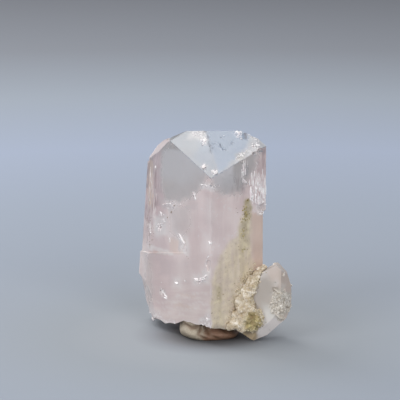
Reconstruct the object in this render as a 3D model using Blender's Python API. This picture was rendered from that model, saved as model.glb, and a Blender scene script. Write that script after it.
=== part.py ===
"""A danburite crystal with a small side crystal, the crust between them and the putty it stands on.

The frame is +Z up with the origin at the middle of the footprint, on the surface it rests on.
-Y is the side with the long front edge and the bright sloping top face. Sizes are in millimetres
and become metres where a shape is made, and directions are in degrees.
"""

import math
import random

import bmesh
import bpy
from mathutils import Matrix, Vector, noise


def clear_scene():
    for thing in list(bpy.data.objects):
        bpy.data.objects.remove(thing, do_unlink=True)


clear_scene()

MM = 0.001

# Plan of the main crystal: where its upright edges stand
FRONT_EDGE = (-0.76, -10.45)
LEFT_EDGE = (-10.8, 2.1)
LEFT_BACK_EDGE = (-13.35, 7.6)
RIGHT_EDGE = (8.85, -4.04)
RIGHT_BACK_EDGE = (9.05, -3.8)
BACK_FACE_Y = 8.2

# Heights of the main crystal
TOP_FACE_TIP_Z = 32.15
RIDGE_POINT = (-5.3, 1.24, 38.95)
RIDGE_END = (4.75, 0.46, 39.14)
UNDERSIDE_Z = 2.84
STEP_Z = 14.6

# How the prism faces turn about the upright axis, in degrees from the front
CRYSTAL_TURN = -9.0
MAIN_PRISM = 42.5
SIDE_PRISM = 61.4
FRONT = -90.0 + CRYSTAL_TURN
BACK = FRONT + 180.0

# Clear overgrowth on the upper right edge, and how far growth steps stand out
OVERGROWTH = 0.62
OVERGROWTH_Z = 24.6
STEP_OUT = 0.28

# Side crystal
SIDE_FRONT_EDGE = (12.35, -9.3)
SIDE_TOP = (11.75, -5.0, 14.6)
SIDE_FOOT = (7.3, -7.95, 0.2)

# Putty under the crystal
PUTTY_CENTRE = (-0.75, -0.9)
PUTTY_RADII = (5.75, 5.7)
PUTTY_WAIST_Z = 1.6
PUTTY_HEIGHT = 7.0

# What touches keeps this gap
GAP = 0.3

# Linear colour, roughness and how see-through it is, for each piece
DANBURITE = ((0.55, 0.47, 0.48), 0.25, 0.6)
SIDE_DANBURITE = ((0.47, 0.44, 0.45), 0.35, 0.4)
CLAY_CRUST = ((0.62, 0.54, 0.38), 0.9, 0.0)
PUTTY = ((0.31, 0.26, 0.21), 0.6, 0.0)
DANBURITE_IOR = 1.63


def heading(azimuth, rise):
    """The unit normal of a face that looks along azimuth and up by rise, in degrees."""
    flat = math.cos(math.radians(rise))
    return Vector((
        flat * math.cos(math.radians(azimuth)),
        flat * math.sin(math.radians(azimuth)),
        math.sin(math.radians(rise)),
    ))


def cut_block(faces, grow=0.0):
    """A block with flat faces: a large cube cut back to each face, which may first move out by grow."""
    block = bmesh.new()
    bmesh.ops.create_cube(block, size=120 * MM)
    for azimuth, rise, point in faces:
        normal = heading(azimuth, rise)
        cut = bmesh.ops.bisect_plane(
            block,
            geom=block.verts[:] + block.edges[:] + block.faces[:],
            dist=1e-8,
            plane_co=(Vector(point) + normal * grow) * MM,
            plane_no=normal,
            clear_outer=True,
        )
        rim = [item for item in cut["geom_cut"] if isinstance(item, bmesh.types.BMEdge)]
        if rim:
            bmesh.ops.contextual_create(block, geom=rim)
    bmesh.ops.recalc_face_normals(block, faces=block.faces[:])
    return block


def add_object(name, shape):
    mesh = bpy.data.meshes.new(name)
    shape.to_mesh(mesh)
    shape.free()
    piece = bpy.data.objects.new(name, mesh)
    bpy.context.collection.objects.link(piece)
    return piece


def finish(piece, colour, roughness, see_through):
    """Gives a piece its own material, named after it."""
    material = bpy.data.materials.new(piece.name)
    material.use_nodes = True
    surface = material.node_tree.nodes["Principled BSDF"].inputs
    surface["Base Color"].default_value = (*colour, 1.0)
    surface["Roughness"].default_value = roughness
    surface["Metallic"].default_value = 0.0
    surface["Transmission Weight"].default_value = see_through
    surface["IOR"].default_value = DANBURITE_IOR if see_through else 1.5
    piece.data.materials.append(material)


def combine(piece, name, shape, operation):
    """Joins shape to a piece, or cuts it out, as a Boolean with its own hidden tool object."""
    tool = add_object(name, shape)
    tool.hide_render = True
    tool.display_type = "WIRE"
    step = piece.modifiers.new(name, "BOOLEAN")
    step.object = tool
    step.operation = operation
    step.solver = "EXACT"
    step.use_self = True


def rough_ball(centre, radii, roughness, seed, turn=0.0, levels=2):
    """A broken-off lump: a ball stretched to three radii with a noise in its surface."""
    ball = bmesh.new()
    bmesh.ops.create_icosphere(ball, subdivisions=levels, radius=1.0)
    spin = Matrix.Rotation(math.radians(turn), 3, "Z")
    for vert in ball.verts:
        bump = noise.noise(vert.co * 1.7 + Vector((seed * 3.1, seed * 1.7, seed * 0.9)))
        place = Vector([vert.co[axis] * radii[axis] for axis in range(3)]) * (1 + roughness * bump)
        vert.co = (spin @ place + Vector(centre)) * MM
    return ball


def join_shapes(shapes):
    """One mesh with several separate shapes in it."""
    whole = bmesh.new()
    for shape in shapes:
        scrap = bpy.data.meshes.new("scrap")
        shape.to_mesh(scrap)
        shape.free()
        whole.from_mesh(scrap)
        bpy.data.meshes.remove(scrap)
    return whole


# The main crystal's faces, each as azimuth, rise and a point on it. Neighbouring prism faces meet at 95
# and 85 degrees, and narrow second prism faces bevel the left and right edges.
LEFT_FRONT = (FRONT - MAIN_PRISM, 0.0, (*FRONT_EDGE, 0.0))
RIGHT_FRONT = (FRONT + MAIN_PRISM, 0.0, (*FRONT_EDGE, 0.0))
LEFT_BEVEL = (FRONT - SIDE_PRISM, 3.0, (*LEFT_EDGE, 33.0))
RIGHT_BEVEL = (FRONT + SIDE_PRISM, 0.0, (*RIGHT_EDGE, 30.0))
RIGHT_BACK = (BACK - MAIN_PRISM, 0.0, (*RIGHT_BACK_EDGE, 30.0))
LEFT_BACK = (BACK + MAIN_PRISM, 3.5, (*LEFT_BACK_EDGE, 31.0))
BACK_FACE = (BACK, 0.0, (0.0, BACK_FACE_Y, 0.0))
FRONT_TOP = (-96.8, 58.9, (*FRONT_EDGE, TOP_FACE_TIP_Z))
BACK_TOP = (86.8, 60.0, RIDGE_POINT)
SHOULDERS = [
    (173.3, 61.2, RIDGE_POINT),
    (-178.2, 36.9, (-10.45, 1.71, 35.1)),
    (38.5, 52.3, RIDGE_END),
    (-5.0, 37.0, (8.36, -1.71, 38.0)),
]
ROOT = (0.0, -90.0, (0.0, 0.0, 0.4))
PRISM = [LEFT_FRONT, RIGHT_FRONT, LEFT_BEVEL, RIGHT_BEVEL, RIGHT_BACK, LEFT_BACK, BACK_FACE]


def moved(face, out):
    """A face moved out by a distance, or in by a negative one."""
    azimuth, rise, point = face
    return azimuth, rise, tuple(Vector(point) + heading(azimuth, rise) * out)


def on_face(face, along, z, out=0.0):
    """A place on a prism face: along runs to the right as seen from outside, from the face's own point."""
    azimuth, rise, point = face
    normal = heading(azimuth, 0.0)
    side = Vector((-normal.y, normal.x, 0.0))
    lean = (point[2] - z) * math.tan(math.radians(rise))
    return Vector((point[0], point[1], z)) + side * along + normal * (out + lean)


def top_left_plate():
    """The left part of the front top face, a growth plate that stands a little proud along the crack."""
    hidden = [moved(face, -0.05) for face in (*PRISM, BACK_TOP, *SHOULDERS)]
    tilted = (-98.5, 58.1, (*FRONT_EDGE, TOP_FACE_TIP_Z))
    crack = (10.4, 0.0, (-1.9, 1.1, 0.0))
    floor = (0.0, -90.0, (0.0, 0.0, 25.0))
    return cut_block(hidden + [tilted, crack, floor])


def right_overgrowth():
    """The clear later growth along the upper right edge, broken off below."""
    hidden = [moved(face, -0.12) for face in (RIGHT_FRONT, FRONT_TOP, BACK_TOP, *SHOULDERS[:3])]
    wide = [moved(face, OVERGROWTH) for face in (RIGHT_BEVEL, RIGHT_BACK, SHOULDERS[3])]
    back = moved(BACK_FACE, -5.0)
    middle = (180.0, 0.0, (5.0, 0.0, 0.0))
    broken = (-40.0, -52.0, (9.3, -3.6, OVERGROWTH_Z))
    return cut_block(hidden + wide + [back, middle, broken])


def lower_left_step():
    """The wider foot of the left side below the growth step."""
    spread = 2.1
    azimuth, rise, _ = LEFT_FRONT
    front = (azimuth + spread, rise, tuple(on_face(LEFT_FRONT, -7.0, 0.0)))
    wide = [moved(face, STEP_OUT) for face in (LEFT_BEVEL, LEFT_BACK)]
    hidden = [moved(BACK_FACE, -1.0), (0.0, 0.0, (-3.0, 0.0, 0.0))]
    top = (160.0, 78.0, (-12.5, 4.0, STEP_Z))
    return cut_block([front, top, moved(ROOT, 0.2)] + wide + hidden)


def back_plate(face, low, high, out):
    """A growth plate on a back face between two heights, its ends set in from the face's edges."""
    azimuth, rise, point = face
    others = [other for other in (LEFT_BACK, RIGHT_BACK, BACK_FACE) if other is not face]
    ends = [moved(other, -PLATE_END_INSET) for other in (*others, LEFT_BEVEL, RIGHT_BEVEL)]
    root = (azimuth + 180.0, 0.0, tuple(Vector(point) - heading(azimuth, 0.0) * PLATE_ROOT))
    top = (azimuth, 70.0, (point[0], point[1], high))
    bottom = (azimuth, -65.0, (point[0], point[1], low))
    return cut_block(ends + [moved(face, out), root, top, bottom])


def lath(face, along, low, high, width, proud):
    """An upright growth rib on a prism face, pointed at both ends."""
    sunk = -0.4
    half = width / 2
    taper = min(width * 1.6, (high - low) / 3)
    rib = bmesh.new()
    corners = [(-half, low), (half, low), (half, high), (-half, high)]
    foot = [rib.verts.new(on_face(face, along + shift, z, sunk) * MM) for shift, z in corners]
    crest = [rib.verts.new(on_face(face, along, z, proud) * MM) for z in (low + taper, high - taper)]
    rib.faces.new(foot)
    rib.faces.new((foot[0], foot[1], crest[0]))
    rib.faces.new((foot[1], foot[2], crest[1], crest[0]))
    rib.faces.new((foot[2], foot[3], crest[1]))
    rib.faces.new((foot[3], foot[0], crest[0], crest[1]))
    bmesh.ops.recalc_face_normals(rib, faces=rib.faces[:])
    return rib


def broken_slab(face, size, cells, depth, seed):
    """A slab to cut with: its inner side is an uneven break with flat treads and short risers."""
    azimuth, rise, point = face
    treads_per_mm = 3
    normal = heading(azimuth, rise)
    side = normal.orthogonal().normalized()
    other = normal.cross(side)
    slab = bmesh.new()
    rows = []
    for i in range(cells + 1):
        row = []
        for j in range(cells + 1):
            place = Vector(point) + side * size * (i / cells - 0.5) + other * size * (j / cells - 0.5)
            height = noise.noise(place * 0.22 + Vector((seed, 0, 0))) * 1.6
            tread = round(height * treads_per_mm) / treads_per_mm
            grit = noise.noise(place * 0.9 + Vector((0, seed, 0))) * 0.35
            row.append(slab.verts.new((place + normal * depth * (tread + grit)) * MM))
        rows.append(row)
    for i in range(cells):
        for j in range(cells):
            slab.faces.new((rows[i][j], rows[i + 1][j], rows[i + 1][j + 1], rows[i][j + 1]))
    far = bmesh.ops.extrude_face_region(slab, geom=slab.faces[:])["geom"]
    for item in far:
        if isinstance(item, bmesh.types.BMVert):
            item.co += normal * BREAK_REACH * MM
    bmesh.ops.triangulate(slab, faces=slab.faces[:])
    bmesh.ops.recalc_face_normals(slab, faces=slab.faces[:])
    return slab


# Growth plates on the back faces: face, lower end, upper end and how far they stand out
PLATE_ROOT = 4.0
PLATE_END_INSET = 1.4
BACK_PLATES = [
    (RIGHT_BACK, 6.0, 24.0, 0.35),
    (BACK_FACE, 3.5, 17.0, 0.3),
]

# Ribs on the prism faces: face, place along it, lower end, upper end, width and how far it stands out
RIBS = [
    (RIGHT_FRONT, 7.3, 30.6, 34.6, 0.5, 0.14),
    (RIGHT_FRONT, 9.2, 26.6, 33.0, 0.5, 0.16),
    (RIGHT_FRONT, 10.1, 27.4, 33.8, 0.6, 0.2),
    (RIGHT_FRONT, 10.9, 26.8, 32.2, 0.55, 0.18),
    (LEFT_BEVEL, -1.2, 21.0, 32.5, 0.6, 0.16),
    (LEFT_BEVEL, -2.6, 17.5, 31.0, 0.8, 0.18),
    (LEFT_BEVEL, -4.2, 20.5, 30.6, 0.6, 0.14),
    (RIGHT_BACK, 4.4, 8.0, 26.0, 1.1, 0.5),
    (RIGHT_BACK, 6.8, 12.0, 30.0, 0.8, 0.45),
    (RIGHT_BACK, 9.6, 9.0, 22.0, 1.3, 0.55),
    (BACK_FACE, 3.0, 18.0, 31.0, 0.9, 0.2),
    (BACK_FACE, 5.6, 19.5, 29.5, 1.3, 0.26),
    (BACK_FACE, 7.8, 14.0, 27.0, 0.9, 0.22),
    (LEFT_BACK, -2.0, 17.0, 28.0, 0.9, 0.2),
]

# Chips knocked out of the edges: face, along, height, how far out the centre is, radii
CHIPS = [
    (RIGHT_FRONT, 11.6, 25.2, 0.2, (1.1, 0.8, 1.5)),
    (RIGHT_FRONT, 11.0, 36.3, 0.1, (0.8, 0.5, 0.5)),
    (RIGHT_FRONT, 9.7, 35.9, 0.1, (0.6, 0.5, 0.4)),
    (RIGHT_FRONT, 6.9, 34.5, 0.15, (0.8, 0.4, 0.45)),
    (LEFT_FRONT, 0.1, 31.0, 0.2, (0.9, 0.5, 0.35)),
    (LEFT_FRONT, -0.9, 15.3, 0.35, (0.9, 0.7, 1.5)),
    (LEFT_FRONT, 0.3, 18.6, 0.25, (0.5, 0.5, 0.6)),
    (LEFT_FRONT, -4.0, 11.6, 0.2, (0.8, 0.4, 0.4)),
    (LEFT_FRONT, -14.6, 7.5, 0.2, (0.8, 0.45, 0.7)),
    (LEFT_FRONT, -15.6, 20.0, 0.3, (0.7, 0.6, 0.9)),
    (LEFT_BEVEL, -5.9, 32.2, 0.2, (0.7, 0.7, 0.5)),
    (LEFT_BEVEL, -4.6, 20.2, 0.2, (0.7, 0.5, 0.9)),
    (RIGHT_BACK, 1.0, 14.0, 0.2, (0.9, 0.7, 1.2)),
    (RIGHT_BACK, 11.6, 31.5, 0.8, (0.9, 0.8, 1.1)),
    (BACK_FACE, 2.2, 20.0, 0.2, (1.0, 0.5, 1.6)),
    (LEFT_BACK, -5.2, 8.5, 0.3, (1.3, 0.9, 1.0)),
    (RIGHT_BACK, 15.2, 26.5, 0.2, (1.0, 0.7, 1.3)),
]
RIDGE_CHIPS = [
    ((5.6, 0.7, 38.95), (0.4, 0.9, 0.5)),
    ((7.6, -0.9, 38.35), (0.5, 0.7, 0.3)),
    ((-1.7, 0.9, 39.0), (0.5, 0.5, 0.25)),
    ((-8.6, 4.4, 36.8), (0.7, 0.9, 0.4)),
]
LEFT_BREAK = (-168.0, -15.0, (-14.9, 8.0, 11.0))
UNDER_BREAK = (-51.5, -83.6, (0.0, 0.0, UNDERSIDE_Z))

# Breaks: size of the slab that cuts, cells along it, depth of the relief and seed
LEFT_BREAK_SHAPE = (26.0, 22, 0.5, 5.0)
UNDER_BREAK_SHAPE = (40.0, 30, 0.55, 3.0)
BREAK_REACH = 8.0


def make_chips():
    chips = []
    for seed, (face, along, z, out, radii) in enumerate(CHIPS):
        centre = on_face(face, along, z, out)
        chips.append(rough_ball(centre, radii, 0.5, seed, face[0] + 90.0))
    for seed, (centre, radii) in enumerate(RIDGE_CHIPS):
        chips.append(rough_ball(centre, radii, 0.5, seed + 40))
    return chips


def make_main_crystal():
    crystal = add_object("main_crystal", cut_block(PRISM + [FRONT_TOP, BACK_TOP, ROOT] + SHOULDERS))
    combine(crystal, "top_left_plate", top_left_plate(), "UNION")
    combine(crystal, "right_overgrowth", right_overgrowth(), "UNION")
    combine(crystal, "lower_left_step", lower_left_step(), "UNION")
    for number, plate in enumerate(BACK_PLATES):
        combine(crystal, f"back_plate_{number}", back_plate(*plate), "UNION")
    combine(crystal, "ribs", join_shapes([lath(*rib) for rib in RIBS]), "UNION")
    combine(crystal, "under_break", broken_slab(UNDER_BREAK, *UNDER_BREAK_SHAPE), "DIFFERENCE")
    combine(crystal, "left_break", broken_slab(LEFT_BREAK, *LEFT_BREAK_SHAPE), "DIFFERENCE")
    combine(crystal, "chips", join_shapes(make_chips()), "DIFFERENCE")
    return crystal


# The side crystal's faces
SIDE_GREY = (-105.0, 0.0, (*SIDE_FRONT_EDGE, 15.0))
SIDE_RIGHT = (-30.0, 0.0, (*SIDE_FRONT_EDGE, 15.0))
SIDE_FACES = [
    SIDE_GREY,
    SIDE_RIGHT,
    (30.0, 0.0, (14.3, -5.5, 15.0)),
    (180.0, 18.4, (9.1, -6.0, 14.3)),
    (162.0, 62.0, SIDE_TOP),
    (5.0, 47.0, SIDE_TOP),
    (0.0, 18.0, (14.3, -5.5, 10.7)),
    (-5.0, -20.0, (14.3, -5.5, 6.4)),
    (-12.0, -47.0, (13.0, -7.6, 4.2)),
    (172.0, -58.0, SIDE_FOOT),
    (20.0, -67.0, SIDE_FOOT),
    (-75.0, -25.0, (*SIDE_FRONT_EDGE, 6.6)),
]
SEAT = (RIGHT_FRONT[0] + 180.0, 0.0, RIGHT_FRONT[2])


def side_grains():
    """Small crystals grown in a patch over the side crystal's front edge."""
    chance = random.Random(5)
    grains = []
    for seed in range(20):
        along = chance.uniform(-1.8, 1.5)
        face = SIDE_GREY if along < 0 else SIDE_RIGHT
        size = chance.uniform(0.3, 0.55)
        centre = on_face(face, along, chance.uniform(6.3, 10.4), -0.12)
        grains.append(rough_ball(centre, (size, size, size * 1.2), 0.5, seed + 60, levels=1))
    return grains


def make_side_crystal():
    crystal = add_object("side_crystal", cut_block(SIDE_FACES + [moved(SEAT, -GAP)]))
    combine(crystal, "side_grains", join_shapes(side_grains()), "UNION")
    chip = rough_ball(on_face(SIDE_RIGHT, 0.3, 5.4, 0.3), (1.0, 0.6, 0.7), 0.5, 90)
    combine(crystal, "side_chip", chip, "DIFFERENCE")
    return crystal


# Lumps of the crust from its top, on the right edge of the main crystal, down to the foot: centre, radius
CRUST_LUMPS = [
    ((9.1, -5.1, 13.7), 0.7),
    ((8.7, -6.1, 13.3), 0.8),
    ((8.4, -7.2, 12.9), 0.8),
    ((8.2, -5.6, 12.4), 1.0),
    ((7.8, -6.8, 11.9), 1.1),
    ((7.1, -6.0, 11.2), 1.0),
    ((7.2, -7.6, 10.8), 0.9),
    ((6.5, -6.5, 10.2), 1.1),
    ((6.6, -7.7, 9.7), 0.9),
    ((6.0, -7.0, 9.0), 1.1),
    ((6.2, -8.0, 8.4), 0.8),
    ((5.2, -7.2, 8.1), 1.1),
    ((4.4, -7.4, 7.9), 0.8),
    ((6.3, -7.9, 7.4), 1.1),
    ((5.1, -7.8, 6.6), 1.2),
    ((6.6, -8.4, 6.2), 1.2),
    ((8.0, -8.6, 5.8), 0.8),
    ((4.6, -8.0, 5.1), 1.2),
    ((6.0, -8.4, 4.6), 1.5),
    ((7.8, -8.7, 4.5), 1.3),
    ((3.9, -8.3, 3.7), 1.1),
    ((5.2, -8.4, 3.3), 1.2),
    ((6.8, -8.6, 3.2), 1.1),
    ((3.0, -8.8, 3.2), 0.8),
]
CRUST_VOXEL = 0.26
CRUST_SHARE_KEPT = 0.42


def make_matrix_crust():
    lumps = []
    for seed, (centre, radius) in enumerate(CRUST_LUMPS):
        lumps.append(rough_ball(centre, (radius,) * 3, 0.4, seed + 10))
    crust = add_object("matrix_crust", join_shapes(lumps))
    melt = crust.modifiers.new("melt", "REMESH")
    melt.mode = "VOXEL"
    melt.use_smooth_shade = True
    melt.voxel_size = CRUST_VOXEL * MM
    grit = bpy.data.textures.new("grit", "CLOUDS")
    grit.noise_scale = 0.8 * MM
    grit.noise_depth = 1
    raise_grit = crust.modifiers.new("grit", "DISPLACE")
    raise_grit.texture = grit
    raise_grit.strength = 0.55 * MM
    raise_grit.texture_coords = "LOCAL"
    thin = crust.modifiers.new("thin", "DECIMATE")
    thin.ratio = CRUST_SHARE_KEPT
    combine(crust, "crust_off_main", cut_block(PRISM + [ROOT], GAP), "DIFFERENCE")
    combine(crust, "crust_off_side", cut_block(SIDE_FACES + [SEAT], GAP), "DIFFERENCE")
    return crust


def squashed(level):
    """How wide a pressed ball is at a level between -1 and 1: flatter at both ends than a round one."""
    squareness = 2.3
    return max(0.02, (1 - abs(level) ** squareness) ** (1 / squareness))


def make_mounting_putty():
    folds = 5
    fold_depth = 0.035
    unevenness = 0.05
    ball = bmesh.new()
    bmesh.ops.create_icosphere(ball, subdivisions=4, radius=1.0)
    for vert in ball.verts:
        turn = math.atan2(vert.co.y, vert.co.x)
        level = max(-1.0, min(1.0, vert.co.z))
        fold = fold_depth * math.sin(folds * turn + 3.0 * level) + unevenness * noise.noise(vert.co * 1.3)
        size = (1 + fold) * squashed(level)
        x = PUTTY_CENTRE[0] + math.cos(turn) * PUTTY_RADII[0] * size
        y = PUTTY_CENTRE[1] + math.sin(turn) * PUTTY_RADII[1] * size
        vert.co = Vector((x, y, PUTTY_WAIST_Z + level * PUTTY_HEIGHT / 2)) * MM
    cut = bmesh.ops.bisect_plane(
        ball,
        geom=ball.verts[:] + ball.edges[:] + ball.faces[:],
        dist=1e-8,
        plane_co=(0, 0, 0),
        plane_no=(0, 0, -1),
        clear_outer=True,
    )
    rim = [item for item in cut["geom_cut"] if isinstance(item, bmesh.types.BMEdge)]
    bmesh.ops.contextual_create(ball, geom=rim)
    bmesh.ops.recalc_face_normals(ball, faces=ball.faces[:])
    putty = add_object("mounting_putty", ball)
    putty.data.shade_smooth()
    below = broken_slab(moved(UNDER_BREAK, GAP), *UNDER_BREAK_SHAPE)
    combine(putty, "pressed_top", below, "INTERSECT")
    return putty


finish(make_main_crystal(), *DANBURITE)
finish(make_side_crystal(), *SIDE_DANBURITE)
finish(make_matrix_crust(), *CLAY_CRUST)
finish(make_mounting_putty(), *PUTTY)
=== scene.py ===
"""The finished look of the danburite specimen: clear and milky crystal, crust, putty and studio light."""

import math
import random

import bmesh
import bpy
from mathutils import Matrix, Vector, bvhtree, kdtree, noise


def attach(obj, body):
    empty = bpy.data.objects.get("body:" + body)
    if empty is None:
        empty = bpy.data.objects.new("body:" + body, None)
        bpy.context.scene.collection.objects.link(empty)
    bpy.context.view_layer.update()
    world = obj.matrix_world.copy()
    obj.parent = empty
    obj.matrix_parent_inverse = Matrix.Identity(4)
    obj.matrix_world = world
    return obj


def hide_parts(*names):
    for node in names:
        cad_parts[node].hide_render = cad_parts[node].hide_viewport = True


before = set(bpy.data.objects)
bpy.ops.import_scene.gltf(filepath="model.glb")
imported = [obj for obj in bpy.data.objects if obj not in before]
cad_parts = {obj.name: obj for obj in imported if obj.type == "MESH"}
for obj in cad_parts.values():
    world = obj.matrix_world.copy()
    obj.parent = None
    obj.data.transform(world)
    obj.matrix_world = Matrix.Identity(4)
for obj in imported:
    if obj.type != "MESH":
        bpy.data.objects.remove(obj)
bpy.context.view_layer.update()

# The main crystal
# One upright prism of danburite, a hard calcium borosilicate. It grew free in a pocket, clear at the tip
# and milky with fine cracks below, and was broken off its rock at the foot. Iron-stained clay dried on its
# right front face, and a later splintery growth whitens its upper right edge.
MM = 0.001
CELL_ACROSS = 0.22
CELL_UP = 0.38
SMALLEST_SCORED_FACE = 3.0
WELD = 0.001
FLAT_ANGLE = 0.5
SHARP_ANGLE = 24.0

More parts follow.
